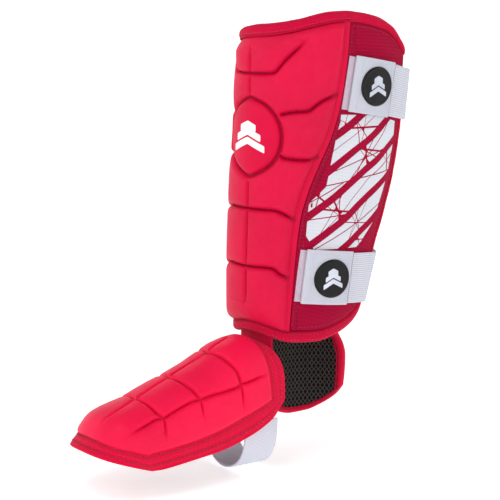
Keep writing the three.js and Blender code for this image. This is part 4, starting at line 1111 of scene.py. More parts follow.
def build_strap(key):
    c = STRAPS[key]; half = 24.0; lean = c["lean"]; zb = c["zBack"]; hw = half - 0.8
    line = lambda s: c["z0"] + c["slope"] * (s - c["s0"])
    on = lambda s, dz, w: shin(s + 2 * lean * dz, line(s) + dz, w)
    strap, tab = key + "_strap", key + "_tab"
    # loop patch sewn to the wing
    uu, vv = ends(60, 0.02, 4), ends(44, 0.02, 4)
    U, V = np.meshgrid(uu, vv, indexing="ij")
    s = lerp(c["patch"], c["tabEnd"] - 4, U); dz = (2 * V - 1) * (half - 0.6)
    e = np.minimum(np.minimum(s - c["patch"], c["tabEnd"] - 4 - s), half - 0.6 - np.abs(dz)); f = rounding(e, 0.8)
    st = np.stack([s, dz, 0 * s], -1)
    ob = slab_mesh(key + "_loop_tape", on(s, dz, lerp(0.9, 1.5 , f)), on(s, dz, lerp(0.9, 0.32, f)), st, mat=M_HOOK)
    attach(ob, SG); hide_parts(key + "_loop_patch")
    # tape hooks: short bristles on the strip that shows
    rows = []
    for i, x in enumerate(np.arange(c["patch"] + 1.2, c["fold"] + 1.5, 1.25)):
        for j, y in enumerate(np.arange(-half + 2 + (i % 2) * 0.6, half - 1.5, 1.2)):
            p = on(np.array([x]), np.array([y]), np.array([1.4]))[0]; q = on(np.array([x]), np.array([y]), np.array([2.0]))[0]
            rows.append((p + np.array([0, 0, -0.35]), p + np.array([0, 0, 0.35]), q - p))
    hk = stitches(key + "_tape_hooks", [rows], 0.24, M_HOOK); hk.parent = ob
    # hook tab: the strap's end folded back on itself
    R = 0.72; x0 = c["fold"] + 0.9
    path = [(x, 2.42) for x in np.linspace(c["tabEnd"] - 9, x0 + 4, 30)]
    path += [(x0 + 3.2, 2.42), (x0 + 1.6, 2.46)]
    path += [(x0 + 0.55 - 1.05 * math.sin(a), 3.28 - 0.86 * math.cos(a)) for a in np.linspace(0.15, math.pi - 0.15, 12)]
    path += [(x0 + 1.8, 4.14), (x0 + 3.2, 4.08), (x0 + 4.6, 3.92), (x0 + 6.0, 3.80)]
    path += [(x, 3.74) for x in np.linspace(x0 + 7.5, c["tabEnd"] - 0.05, 44)]
    path = resample(np.array(path), 0.7)
    T = np.gradient(path, axis=0); T /= np.linalg.norm(T, axis=1, keepdims=True); N = np.stack([T[:, 1], -T[:, 0]], -1)
    # thickness 1.15, thinner at the two ends
    L = np.concatenate([[0], np.cumsum(np.linalg.norm(np.diff(path, axis=0), axis=1))])
    th = 0.575 * np.maximum(rounding(L + 0.05, 0.7) * rounding(L[-1] - L + 0.05, 0.7), 0.15)
    vv = ends(60, 0.016, 4); y = (2 * vv - 1) * (half + 0.6)
    ed = np.maximum(rounding(half + 0.6 - np.abs(y), 0.6), 0.12)
    o1 = path[:, None, :] + (N * th[:, None])[:, None, :] * ed[None, :, None]
    o2 = path[:, None, :] - (N * th[:, None])[:, None, :] * ed[None, :, None]
    Y = np.repeat(y[None, :], len(path), 0)
    wav = 0.10 * np.sin(Y / 5.0 + 0.6) + 0.07 * np.sin(Y / 2.9)
    st = np.stack([o1[..., 0] + o1[..., 1] * 0.5, Y, 0 * Y], -1)
    ob = slab_mesh(key + "_folded_tab", on(o1[..., 0], Y, o1[..., 1] + wav * (o1[..., 1] > 3.2)), on(o2[..., 0], Y, o2[..., 1] + wav * (o2[..., 1] > 3.2)), st, mat=M_TAPE, sharp=60)
    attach(ob, tab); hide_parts(key + "_hook_tab")
    tabob = ob
    # stitch box on the tab
    def srow(S, D, w, **kw):
        P = on(S, D, np.full_like(S, w)); return stitch_row(P, P - on(S, D, np.full_like(S, w - 1)), **kw)
    m = 120; lo_, hi_ = c["fold"] + 7.2, c["tabEnd"] - 2.6; yy = np.linspace(-half + 2.6, half - 2.6, m); xx = np.linspace(lo_, hi_, m)
    rows = [srow(np.full(m, lo_), yy, 4.36, length=2.0, gap=1.0), srow(np.full(m, hi_), yy, 4.36, length=2.0, gap=1.0),
            srow(np.full(m, hi_ - 2.4), yy, 4.36, length=2.0, gap=1.0),
            srow(xx, np.full(m, half - 2.6), 4.36, length=2.0, gap=1.0), srow(xx, np.full(m, -half + 2.6), 4.36, length=2.0, gap=1.0)]
    a = stitches(key + "_tab_stitching", rows, 0.24, T_WHITE); a.parent = tabob
    # badge
    cs_, cz = c["badge"]; n = 64
    th_ = np.linspace(0, 2 * math.pi, n, endpoint=False)
    rho = np.concatenate([[0.004], np.linspace(0.1, 0.86, 12), 1 - 0.14 * (1 - np.sin(np.linspace(0.08, math.pi / 2, 9)))])
    TH, RR = np.meshgrid(th_, rho, indexing="ij"); x = cs_ + 17.7 * RR * np.cos(TH); yv = cz + 17.7 * RR * np.sin(TH)
    hgt = 4.75 + 1.25 * rounding(17.7 * (1 - RR), 1.6) + 0.28 * np.exp(-((RR - 0.90) / 0.035) ** 2)
    ob = slab_mesh(key + "_badge_disc", shin(x, yv, hgt), shin(x, yv, np.full_like(x, 4.6)), np.stack([x, yv, hgt], -1), mat=M_BADGE, wrap_u=True, sharp=45)
    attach(ob, tab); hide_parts(key + "_badge")
    d = decal(key + "_badge_mark", mark(cs_, cz - 1.0, 9.4, 8.4), lambda a, b, w: shin(a, b, 6.0 + w), -0.1, 0.24, M_MARKB, 1.6); d.parent = ob
    # elastic
    sweeps = []
    for k in (-1, 0, 1):
        z = zb + k * hw; e0, e1 = shin(edgeL(z) + 1, z, 0), shin(edgeL(z) + 3, z, 0); m0, m1 = shin(-edgeM(z) - 2.2, z, 0), shin(-edgeM(z) - 4.2, z, 0)
        d0 = (e1 - e0) * [1, 1, 0]; d0 /= np.linalg.norm(d0); a = math.radians(22)
        d0 = np.array([d0[0] * math.cos(a) - d0[1] * math.sin(a), d0[0] * math.sin(a) + d0[1] * math.cos(a), 0])
        d1 = (m1 - m0) * [1, 1, 0]; d1 /= np.linalg.norm(d1); span = np.linalg.norm(e0 - m0) * 0.42
        sweeps.append(bez(e0, e0 + d0 * span, m0 + d1 * span, m0))
    ats = [by_length(P) for P in sweeps]; start = c["tabEnd"] + 0.8
    wl = float(edgeL(zb)) + 1 - start; fl = ats[1][1]; total = wl + fl
    nu, nv = 220, 54
    uu = ends(nu, 0.004, 3); vv = ends(nv, 0.02, 4)
    front = np.zeros((len(uu), len(vv), 3)); back = np.zeros_like(front); st = np.zeros_like(front)
    k = 2 * vv - 1; edg = np.maximum(rounding(hw * (1 - np.abs(k)), 0.9), 0.12)
    for i, u in enumerate(uu):
        d = u * total; endf = max(0.15, float(rounding(min(d, total - d) + 0.05, 0.9)))
        tw = 0.10 * math.sin(d / 9.0) + 0.07 * math.sin(d / 5.3 + 1)
        if d <= wl:
            f = d / wl; z = lerp(line(start) + k * hw, zb + k * hw, f); lo_ = lerp(1.9, 0.9, float(smooth(0.1, 0.7, f)))
            mid, hh = lo_ + 1.1, 1.1 * edg * endf
            S = lerp(start + 2 * lean * k * hw, edgeL(z) + 1, f)
            front[i] = shin(S, z, mid + hh + tw * 0.3); back[i] = shin(S, z, mid - hh)
        else:
            t = min(1.0, (d - wl) / fl); P = np.array([a[0](t) for a in ats]); P2 = np.array([a[0](min(1, t + 0.004)) for a in ats]); P1 = np.array([a[0](max(0, t - 0.004)) for a in ats])
            Tn = P2 - P1
            pt = np.where((k < 0)[:, None], lerp(P[0], P[1], (k + 1)[:, None]), lerp(P[1], P[2], k[:, None]))
            tt = np.where((k < 0)[:, None], lerp(Tn[0], Tn[1], (k + 1)[:, None]), lerp(Tn[1], Tn[2], k[:, None]))
            nn = np.stack([tt[:, 1], -tt[:, 0], 0 * tt[:, 0]], -1); nn /= np.linalg.norm(nn, axis=1, keepdims=True)
            sag = 0.5 * math.sin(math.pi * t) * (1 - k ** 2)
            front[i] = pt + nn * (2.0 + 1.1 * edg * endf - sag)[:, None]; back[i] = pt + nn * (2.0 - 1.1 * edg * endf - sag)[:, None]
        st[i] = np.stack([np.full_like(k, d), k * hw, 0 * k], -1)
    ob = slab_mesh(key + "_elastic_band", front, back, st, mat=M_ELASTIC, sharp=60)
    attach(ob, strap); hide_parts(key + "_strap_elastic")
    # cross stitching where the elastic enters the tab
    i0 = 5; rows = []
    for dd in (2.2, 4.6):
        i = int(np.argmin(np.abs(uu * total - dd))); rows.append(stitch_row(front[i, 3:-3], front[i, 3:-3] - back[i, 3:-3], 2.0, 1.0))
    a = stitches(key + "_elastic_stitching", rows, 0.24, T_WHITE); a.parent = ob
    # sewn anchor on the medial wing
    uu, vv = ends(50, 0.02, 4), ends(nv, 0.02, 4); U, V = np.meshgrid(uu, vv, indexing="ij")
    z = zb + (2 * V - 1) * hw; s = -lerp(float(edgeM(zb)) - 38, edgeM(z) - 1.8, U)
    e = np.minimum(np.minimum(U, 1 - U) * 36, (1 - np.abs(2 * V - 1)) * hw); f = np.maximum(rounding(e, 0.9), 0.1)
    A1, A0 = shin(s, z, 2.0 + 1.1 * f), shin(s, z, 2.0 - 1.1 * f)
    ob = slab_mesh(key + "_anchor_web", A1, A0, np.stack([s, z, 0 * s], -1), mat=M_ELASTIC, sharp=60)
    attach(ob, SG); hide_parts(key + "_strap_anchor")
    rows = []; m = 140; sa, sb = -(float(edgeM(zb)) - 35), -(float(edgeM(zb)) - 8); za, zc = zb - hw + 3, zb + hw - 3
    for (p, q) in (((sa, za), (sa, zc)), ((sb, za), (sb, zc)), ((sa, za), (sb, za)), ((sa, zc), (sb, zc)), ((sa, za), (sb, zc)), ((sa, zc), (sb, za))):
        t = np.linspace(0, 1, m); S, Zz = lerp(p[0], q[0], t), lerp(p[1], q[1], t)
        P = shin(S, Zz, 3.12); rows.append(stitch_row(P, P - shin(S, Zz, 2.0), 2.2, 1.0))
    a = stitches(key + "_anchor_stitching", rows, 0.26, T_WHITE); a.parent = ob
    # the same elastic carries on over the few millimetres between anchor and hinge line
    g0 = A1[-4], A0[-4]; g1 = front[-5], back[-5]
    f2 = np.stack([lerp(lerp(A1[-6], A0[-6], 0.1), lerp(g1[0], g1[1], 0.1), t) for t in np.linspace(0, 1, 12)]); b2 = np.stack([lerp(lerp(A1[-6], A0[-6], 0.9), lerp(g1[0], g1[1], 0.9), t) for t in np.linspace(0, 1, 12)])
    ob = slab_mesh(key + "_hinge_web", f2, b2, np.stack([np.repeat(np.linspace(0, 6, 12)[:, None], len(k), 1), np.repeat((k * hw)[None, :], 12, 0), np.zeros((12, len(k)))], -1), mat=M_ELASTIC)
    mid = len(k) // 2
    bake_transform(ob)


# ---------------------------------------------------------------- foot guard
FOOT_GROOVES = [  # points (a, t), depth, half flat, edge radius, fade at start, fade at end
    ([(-0.068, 0.159), (-0.020, 0.279), (-0.006, 0.353), (-0.001, 0.375)], 2.8, 0.6, 2.6, 0.45, 0),
    ([(-0.001, 0.375), (-0.020, 0.42), (-0.030, 0.473), (-0.015, 0.567), (-0.004, 0.588)], 2.8, 0.6, 2.6, 0, 0),
    ([(-0.004, 0.588), (-0.004, 0.62), (0.002, 0.686), (0.013, 0.755)], 2.8, 0.6, 2.6, 0, 0),
    ([(0.013, 0.755), (0.025, 0.80), (0.070, 0.872), (0.090, 0.938)], 3.0, 0.3, 3.0, 0, 0.5),
    ([(-0.001, 0.375), (0.060, 0.362), (0.167, 0.353), (0.315, 0.337), (0.443, 0.316), (0.545, 0.308), (0.599, 0.306)], 3.5, 0.9, 3.2, 0, 0),
    ([(0.599, 0.306), (0.665, 0.304), (0.748, 0.304), (0.860, 0.309)], 2.9, 0.5, 2.6, 0, 0.75),
    ([(-0.004, 0.588), (0.050, 0.580), (0.186, 0.574), (0.329, 0.562), (0.445, 0.553), (0.497, 0.545)], 3.5, 0.9, 3.2, 0, 0),
    ([(0.497, 0.545), (0.594, 0.552), (0.682, 0.559), (0.775, 0.567)], 2.9, 0.5, 2.6, 0, 0.75),
    ([(0.013, 0.765), (0.085, 0.762), (0.227, 0.762), (0.352, 0.764), (0.423, 0.760), (0.471, 0.753)], 3.5, 0.9, 3.2, 0, 0),
    ([(0.471, 0.753), (0.583, 0.772), (0.682, 0.792), (0.790, 0.814)], 2.9, 0.5, 2.6, 0, 0.75),
    ([(0.471, 0.753), (0.436, 0.790), (0.462, 0.861), (0.466, 0.942)], 3.6, 0.5, 4.2, 0, 0.55),
    ([(0.497, 0.545), (0.468, 0.590), (0.464, 0.632), (0.461, 0.691), (0.471, 0.753)], 3.5, 0.6, 3.8, 0, 0),
    ([(0.599, 0.306), (0.603, 0.335), (0.564, 0.402), (0.519, 0.475), (0.497, 0.545)], 3.5, 0.6, 3.8, 0, 0),
    ([(0.599, 0.306), (0.613, 0.249), (0.618, 0.182), (0.623, 0.095)], 3.4, 0.5, 3.6, 0, 0.5),
]


def toe(A, B, kt=0.16):
    """The foot guard's square to a, t, with the toe corners rounded off."""
    kk = np.where(np.asarray(B, float) < 0, 0.05, kt * smooth(0, 0.5, B))
    ky = np.where(np.asarray(B, float) < 0, 0.05, 2 * kt * smooth(0, 0.5, B))
    return A * np.sqrt(1 - kk * B * B), (B * np.sqrt(1 - ky * A ** 2 * A ** 2) + 1) / 2


def foot_cut(P, mirror=False):
    cut = np.zeros(P.shape[:-1]); near = np.full(P.shape[:-1], 99.0)
    for pts, depth, flat, r, f0, f1 in FOOT_GROOVES:
        for sg in (1, -1):
            q = smoothline(np.array(pts), 6); Q = dome0(q[:, 0] * sg, q[:, 1])
            if sg < 0 and max(abs(p[0]) for p in pts) < 0.1: continue
            dist, al = polydist(P, Q); fade = np.ones_like(dist)
            if f0: fade *= smooth(0, f0, al)
            if f1: fade *= 1 - smooth(1 - f1, 1, al)
            cut = np.maximum(cut, depth * fade * (1 - rounding(np.maximum(dist - flat, 0), r)))
            near = np.minimum(near, np.where(fade > 0.5, dist, 99))
    return cut, near


def build_foot():
    nu, nv = ((250, 340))
    U, V = np.meshgrid(np.linspace(0, 1, nu), np.linspace(0, 1, nv), indexing="ij")
    x = np.sin(1.2 * (2 * U - 1)) / math.sin(1.2); B = lerp(-0.812, 0.937, V)
    a, t = toe(0.868 * x, B)
    P = dome0(a, t); N = domeN(a, t)
    cut, near = foot_cut(P)
    # distance to the rim, in millimetres along the surface
    rim = np.concatenate([P[0, :], P[:, -1], P[::-1][0][::-1], P[::-1, 0]])
    rd, _ = polydist(P, np.vstack([rim[::3], rim[:1]]))
    e = np.minimum(rd, 40)
    w = -2.9 + 3.0 * rounding(e, 5.5) + 0.7 * smooth(0, 22, e) + 0.35 * smooth(2, 14, near) * smooth(4, 16, e)
    w = w - np.minimum(cut, np.maximum(w + 3.1, 0)) * smooth(1.0, 5.0, e)
    # colour mask for the skin: lower in the grooves, which the material darkens as painted shade; near 1 elsewhere,
    # where it adds rub wear
    rel = np.clip(0.96 - 0.20 * cut * smooth(1.0, 5.0, e), 0, 1)
    st = np.stack([a * 60, t * 200, w], -1)
    ob = slab_mesh("foot_shell_skin", P + N * w[..., None], P + N * np.full_like(w, -4.3)[..., None], st, h=rel, mat=M_FOOT, sharp=60)
    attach(ob, FG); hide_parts("foot_shell")
    bpy.data.objects["foot_plate"].data.materials.clear(); bpy.data.objects["foot_plate"].data.materials.append(M_PLATE)
    for nm, node, A, B0, B1, w0, w1, mat, sl in (("foot_foam_core", "foot_foam", 0.82, -0.76, 0.86, -10.9, -7.0, M_FOAM, "foam"), ("foot_lining", "foot_liner", 0.86, -0.78, 0.87, -12.6, -11.5, M_LINER, "black_mesh")):
        uu, vv = ends(80, 0.02, 3), ends(110, 0.015, 3)
        U, V = np.meshgrid(uu, vv, indexing="ij"); xx = np.sin(1.2 * (2 * U - 1)) / math.sin(1.2)
        a, t = toe(A * xx, lerp(B0, B1, V)); P = dome0(a, t); N = domeN(a, t)
        f = np.maximum(rounding(np.minimum(np.minimum(U, 1 - U) * 110, np.minimum(V, 1 - V) * 190), 1.4), 0.15)
        m, hh = (w0 + w1) / 2, (w1 - w0) / 2
        ob = slab_mesh(nm, P + N * (m + hh * f)[..., None], P + N * (m - hh * f)[..., None], np.stack([a * 60, t * 200, 0 * a], -1), mat=mat)
        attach(ob, FG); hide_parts(node)
    # flange: a sewn border, with its turned outer edge
    n, m = 520, 15
    q = np.arange(n) / n * 4; k = np.floor(q).astype(int); c = 2 * (q - k) - 1
    r = np.where(k % 2 == 1, np.sin(1.3 * c) / math.sin(1.3), c)
    X = np.choose(k, [np.ones(n), -r, -np.ones(n), r]); Y = np.choose(k, [r, np.ones(n), -r, -np.ones(n)])

    def fl(v):
        v = np.asarray(v, float)
        A = X[:, None] * lerp(1, 0.860, v); Bq = np.where(Y[:, None] > 0, Y[:, None] * lerp(1, 0.924, v), Y[:, None] * lerp(1, 0.806, v))
        a, t = toe(A, Bq, 0.16 * v); return a, t, dome0(a, t), domeN(a, t)
    v = np.linspace(0, 1, m)[None, :] * np.ones((n, 1))
    a, t, P, N = fl(v)
    # smooth the normals along the flange so that the toe corner stays even
    for _ in range(14):
        N = (np.roll(N, 1, 0) + N + np.roll(N, -1, 0)) / 3
    N /= np.linalg.norm(N, axis=-1, keepdims=True)
    arc = np.concatenate([[0], np.cumsum(np.linalg.norm(np.diff(P[:, 7], axis=0), axis=1))])[:, None]
    w = -2.95 + 0.35 * np.sin(math.pi * np.clip(v, 0, 1)) + 0.10 * np.sin(arc / 3.3) * np.sin(math.pi * v) + 0.07 * np.sin(arc / 1.9 + 2)
    for lv in (0.26, 0.74):
        w = w - 0.28 * np.exp(-((v - lv) / 0.07) ** 2)
    w = w - 1.1 * (1 - rounding(v, 0.12))
    bk = -6.1 + 1.0 * (1 - rounding(v, 0.12))
    st = np.stack([np.repeat(arc, m, 1), v * 11, 0 * v], -1)
    ob = slab_mesh("foot_flange_cloth", P + N * w[..., None], P + N * bk[..., None], st, wrap_u=True, mat=M_FLANGE, sharp=60)
    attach(ob, FG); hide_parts("foot_flange")
    flob = ob
    E = P[:, 0] + N[:, 0] * -4.4
    tb = tube("foot_flange_piping", [E], 1.45, M_FLANGE, 12, closed=True, ups=[N[:, 0]]); tb.parent = flob
    rows = []
    S = P + N * (w + 0.05)[..., None]
    cl = lambda A_: np.vstack([A_, A_[:1]])
    for (i, j) in ((2, 5), (9, 12)):
        rows.append(zigzag_row(cl(S[:, i]), cl(S[:, j]), cl(N[:, i]), 2.0))
    a_ = stitches("foot_flange_zigzag", rows, 0.33, T_MID); a_.parent = flob
    rows = [stitch_row(cl(S[:, 7]), cl(N[:, 7]), 2.6, 1.2)]
    a_ = stitches("foot_flange_rows", rows, 0.22, T_RED); a_.parent = flob
    # instep web: stretch cloth between the lip and the flange
    uu, vv = ends(40, 0.03, 3), np.linspace(0, 1, 16); U, V = np.meshgrid(uu, vv, indexing="ij")
    l = lerp(-24, 24, U); sag = l * l; zz = lerp(0.6, 14.6, V) - 0.0062 * sag
    bul = 0.35 * np.sin(math.pi * V)
    F_ = footAt(l, 50.3 - 0.004 * sag + bul, zz); B_ = footAt(l, 48.5 - 0.004 * sag + bul, zz)
    ob = slab_mesh("instep_stretch_web", F_, B_, np.stack([l, zz, 0 * l], -1), mat=M_COLLAR)
    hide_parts("instep_tab")
    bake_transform(ob)


STIRRUP = np.array([[-36.0, -60], [-34.6, -76], [-28, -91], [-16, -102.5], [-2, -107.5], [12, -105.5], [24, -98.5], [31.6, -88], [35, -76], [36.1, -60]])


def centripetal(P, t):
    """Point on an open centripetal Catmull-Rom curve through P."""
    P = np.asarray(P, float); n = len(P); out = []
    Q = np.vstack([2 * P[0] - P[1], P, 2 * P[-1] - P[-2]])
    for tt in np.atleast_1d(t):
        p = (n - 1) * tt; i = min(int(p), n - 2); w = p - i
        x0, x1, x2, x3 = Q[i], Q[i + 1], Q[i + 2], Q[i + 3]
        d0, d1, d2 = (((b - a) @ (b - a)) ** 0.25 for a, b in ((x0, x1), (x1, x2), (x2, x3)))
        t1 = ((x1 - x0) / d0 - (x2 - x0) / (d0 + d1) + (x2 - x1) / d1) * d1
        t2 = ((x2 - x1) / d1 - (x3 - x1) / (d1 + d2) + (x3 - x2) / d2) * d1
        out.append(x1 + t1 * w + (-3 * x1 + 3 * x2 - 2 * t1 - t2) * w * w + (2 * x1 - 2 * x2 + t1 + t2) * w ** 3)
    return np.array(out)


def build_stirrup():
    C = centripetal(STIRRUP, np.linspace(0, 1, 600)); C3 = np.column_stack([C, np.zeros(len(C))]); at, L = by_length(C3)
    uu = ends(150, 0.006, 3); vv = ends(34, 0.025, 4)
    p = at(uu); T = at(np.minimum(1, uu + 0.004)) - at(np.maximum(0, uu - 0.004)); nrm = np.stack([T[:, 1], -T[:, 0]], -1); nrm /= np.linalg.norm(nrm, axis=1, keepdims=True)
    f = lerp(49.6, 85.4, vv); ed = np.maximum(rounding(18 * (1 - np.abs(2 * vv - 1)), 0.8), 0.12); en = np.maximum(rounding(np.minimum(uu, 1 - uu) * L, 0.8), 0.15)
    hh = 0.92 * en[:, None] * ed[None, :]
    rib = 0.05 * np.sin(uu * L * 2 * math.pi / 2.2)[:, None] * (ed > 0.9)[None, :]
    def lay(sgn):
        h_ = sgn * (hh + rib)
        return footAt(p[:, 0][:, None] + nrm[:, 0][:, None] * h_, np.repeat(f[None, :], len(uu), 0), p[:, 1][:, None] + nrm[:, 1][:, None] * h_)
    st = np.stack([np.repeat((uu * L)[:, None], len(vv), 1), np.repeat(f[None, :], len(uu), 0), 0 * hh], -1)
    ob = slab_mesh("stirrup_webbing", lay(1), lay(-1), st, mat=M_STIR, sharp=60)
    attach(ob, "stirrup"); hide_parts("stirrup_strap")
    for nm, sx in (("lateral", 1), ("medial", -1)):
        uu, vv = ends(30, 0.03, 3), ends(18, 0.05, 3); U, V = np.meshgrid(uu, vv, indexing="ij")
        F = lerp(60, 84.5, U); Zz = lerp(-61, -49, V); fr = np.maximum(rounding(np.minimum(np.minimum(U, 1 - U) * 24, np.minimum(V, 1 - V) * 12), 0.6), 0.2)
        ob = slab_mesh("stirrup_patch_" + nm, footAt(sx * (38.1 + 0.58 * fr), F, Zz), footAt(sx * (38.1 - 0.58 * fr), F, Zz), np.stack([F, Zz, 0 * F], -1), mat=M_STIR)
        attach(ob, FG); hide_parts("stirrup_anchor_" + nm)
        rows = []
        for (a, b) in (((62, -59.3), (82.5, -59.3)), ((62, -50.7), (82.5, -50.7)), ((62, -59.3), (62, -50.7)), ((82.5, -59.3), (82.5, -50.7)), ((62, -59.3), (82.5, -50.7)), ((62, -50.7), (82.5, -59.3))):
            t = np.linspace(0, 1, 40); P = footAt(np.full(40, sx * 37.5), lerp(a[0], b[0], t), lerp(a[1], b[1], t)); rows.append(stitch_row(P, np.tile(-sx * ACROSS, (40, 1)), 2.0, 1.0))
        s_ = stitches("stirrup_patch_stitching_" + nm, rows, 0.22, T_WHITE); s_.parent = ob


# ---------------------------------------------------------------- ankle flap
FLAP_PLAN = np.array([[-50, -14], [-52, 4], [-52, 24], [-48.5, 43], [-40, 59], [-28, 69.5], [-13, 75.5]], float)
flapTop = table([0, 0.3, 0.5, 0.7, 0.85, 1], [1.4, 1.4, 1.0, -0.5, -2.0, -4.0]); flapBottom = table([0, 0.15, 0.35, 0.5, 0.65, 0.8, 0.9, 1], [-46, -68, -84, -88.5, -87, -80, -72, -58])
_fc = centripetal(FLAP_PLAN, np.linspace(0, 1, 900)); FLAP_AT, FLAP_L = by_length(np.column_stack([_fc, np.zeros(len(_fc))]))


def flapAB(A, B, w):
    k = np.where(B > 0, 0.08, 0.30); a = A * np.sqrt(1 - k * B * B); b = B * np.sqrt(1 - k * A * A)
    return flapUV((a + 1) / 2, b, w), (a + 1) / 2, b


def flapUV(u, b, w):
    p = FLAP_AT(np.clip(u, 0, 1)); T = FLAP_AT(np.clip(u + 0.004, 0, 1)) - FLAP_AT(np.clip(u - 0.004, 0, 1))
    n = np.stack([-T[..., 1], T[..., 0], 0 * T[..., 0]], -1); n /= np.linalg.norm(n, axis=-1, keepdims=True)
    z = lerp(flapTop(u), flapBottom(u), (b + 1) / 2)
    out = p + n * np.asarray(w)[..., None]; out[..., 2] = z
    return out


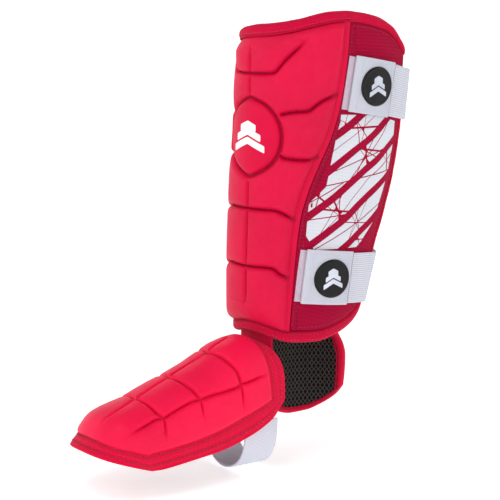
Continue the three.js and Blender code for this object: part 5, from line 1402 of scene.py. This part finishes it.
def build_flap():
    # swelling of the padded flap, from a cloth simulation of its cover
    nu, nv = 34, 30
    U, V = np.meshgrid(np.linspace(-0.88, 0.88, nu), np.linspace(-0.88, 0.88, nv), indexing="ij")
    D = puff("ankle_flap", (flapAB(U, V, 0 * U + 7.0)[0], flapAB(U, V, 0 * U + 1.0)[0]), nu, nv, 2.4)
    D = np.clip(D, 0, 6); D = D / max(1e-6, np.percentile(D, 97)) * 2.6
    D = blur(D, 2)
    for nm, node, w0, w1, mat, sl, n1, n2 in (("ankle_flap_outer", "ankle_flap_cover", 6.0, 7.0, M_WING, "printed_mesh", 100, 90), ("ankle_flap_padding", "ankle_flap_foam", 1.65, 5.6, M_FOAM, "foam", 40, 36), ("ankle_flap_lining", "ankle_flap_liner", 0.05, 1.2, M_BLACKMESH, "black_mesh", 100, 90)):
        uu, vv = ends(n1, 0.012, 4), ends(n2, 0.014, 4); UU, VV = np.meshgrid(uu, vv, indexing="ij")
        A, B = 0.885 * (2 * UU - 1), 0.885 * (2 * VV - 1)
        e = np.minimum(np.minimum(UU, 1 - UU) * 130, np.minimum(VV, 1 - VV) * 85); f = np.maximum(rounding(e, 0.5 * (w1 - w0) + 0.2), 0.1)
        d = field(UU, VV, D); m, hh = (w0 + w1) / 2, (w1 - w0) / 2
        if node == "ankle_flap_cover":
            # a sewn channel that follows the flap's outline
            ch = np.exp(-((np.maximum(np.abs(A), np.abs(B)) - 0.70) / 0.02) ** 2)
            hi_, lo_ = m + hh * f + d - 0.7 * ch * smooth(0, 1, d), m - hh * f
        elif node == "ankle_flap_foam":
            hi_, lo_ = m + hh * f, m - hh * f
        else:
            hi_, lo_ = m + hh * f, m - hh * f - 0.55 * np.clip(d / 2.5, 0, 1)
        P1, u_, b_ = flapAB(A, B, hi_); P0, _, _ = flapAB(A, B, lo_)
        st = np.stack([u_ * FLAP_L, P1[..., 2], 0 * u_], -1)
        ob = slab_mesh(nm, P1, P0, st, mat=mat, sharp=60)
        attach(ob, "ankle_flap"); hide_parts(node)
        if node == "ankle_flap_liner":
            liner = ob
        if node == "ankle_flap_cover":
            cover = ob
    # open diamond mesh over the lining: crossing strands
    lines, ups = [], []
    du, dz_ = 4.3, 6.4

    def inside(u, b):
        a = 2 * u - 1; A, B = a.copy(), b.copy()
        for _ in range(12):
            k = np.where(B > 0, 0.08, 0.30)
            A = np.clip(a / np.sqrt(np.maximum(0.2, 1 - k * B * B)), -1.3, 1.3); B = np.clip(b / np.sqrt(np.maximum(0.2, 1 - k * A * A)), -1.3, 1.3)
        return A, B
    for sg in (1, -1):
        for c in np.arange(-60, FLAP_L + 60, du):
            zz = np.arange(3, -90, -0.9)
            x = c + sg * (zz + 45) * du / dz_ + 0.34 * np.sin(zz * 2 * math.pi / dz_ + (0 if sg > 0 else math.pi))
            u = x / FLAP_L; ok = (u > 0.0) & (u < 1.0); uc = np.clip(u, 0, 1)
            b = 2 * (zz - flapTop(uc)) / (flapBottom(uc) - flapTop(uc)) - 1
            A, B = inside(uc, b); ok &= (np.abs(A) < 0.885) & (np.abs(B) < 0.885)
            idx = np.flatnonzero(ok)
            for run in np.split(idx, np.flatnonzero(np.diff(idx) > 1) + 1):
                if len(run) > 3:
                    dd = field(np.clip(A[run] / 1.77 + 0.5, 0, 1), np.clip(B[run] / 1.77 + 0.5, 0, 1), D)
                    P = flapUV(uc[run], b[run], -0.42 - 0.55 * np.clip(dd / 2.5, 0, 1) + 0.12 * np.sin(zz[run] * 2 * math.pi / dz_))
                    lines.append(P); ups.append(P - flapUV(uc[run], b[run], 1.0 + 0 * uc[run]))
    t = tube("ankle_flap_mesh", lines, 0.5, M_STRAND, 5, flat=0.6, ups=ups); t.parent = liner
    # binding all round, and its piping
    n, m = 480, 19
    q = np.arange(n) / n * 4; k = np.floor(q).astype(int); r = 2 * (q - k) - 1
    r = np.sin(1.25 * r) / math.sin(1.25)
    X = np.choose(k, [np.ones(n), -r, -np.ones(n), r])[:, None]; Y = np.choose(k, [r, np.ones(n), -r, -np.ones(n)])[:, None]
    v = np.linspace(0, 1, m)[None, :] * np.ones((n, 1)); e = lerp(1.0, 0.865, v)
    rr = rounding(np.minimum(v, 1 - v), 0.42) ; rr = np.maximum(rr, 0.03)
    arc = np.linspace(0, 400, n)[:, None]
    P1, u_, b_ = flapAB(X * e, Y * e, 3.7 + 4.0 * rr + 0.10 * np.sin(arc / 3.1) * rr); P0, _, _ = flapAB(X * e, Y * e, 3.7 - 4.3 * rr - 0.10 * np.sin(arc / 2.7 + 1) * rr)
    st = np.stack([u_ * FLAP_L, P1[..., 2], 0 * u_], -1)
    ob = slab_mesh("ankle_flap_edge", P1, P0, st, wrap_u=True, mat=M_BIND, sharp=70)
    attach(ob, "ankle_flap"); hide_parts("ankle_flap_binding")
    cl = lambda A_: np.vstack([A_, A_[:1]])
    rows = [stitch_row(cl(P0[:, 11]), cl(P0[:, 11] - P1[:, 11]), 2.3, 1.0), stitch_row(cl(P1[:, 12]), cl(P1[:, 12] - P0[:, 12]), 2.3, 1.0)]
    a = stitches("ankle_flap_edge_stitching", rows, 0.26, T_DARK); a.parent = ob
    Q = np.array(flapAB(X * 0.868, Y * 0.868, np.full((n, 1), -0.55))[0])[:, 0]
    t = tube("ankle_flap_inner_piping", [Q], 0.85, M_BINDLO, 9, closed=True); t.parent = ob
    # web that hangs the flap from the shin guard's lower edge
    uu, vv = ends(60, 0.02, 3), np.linspace(0, 1, 26); U, V = np.meshgrid(uu, vv, indexing="ij"); uf = lerp(0.015, 0.47, U); z = lerp(-7.0, 8.8, V)
    bul = 0.35 * np.sin(math.pi * V) + 0.12 * np.sin(uf * 90)

    def face(w):
        P = flapUV(uf, 0 * uf, w); P[..., 2] = z; return P
    F_, B_ = face(3.9 + 1.3 + bul), face(3.9 - 1.3 + bul)
    ob = slab_mesh("ankle_flap_hinge_web", F_, B_, np.stack([uf * FLAP_L, z, 0 * z], -1), mat=M_BIND)
    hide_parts("ankle_flap_web")
    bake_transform(ob)


build_shell()
build_emblem()
build_rolls()
build_liner()
build_wing(1)
build_wing(-1)
build_strap("upper")
build_strap("lower")
build_foot()
build_stirrup()
build_flap()
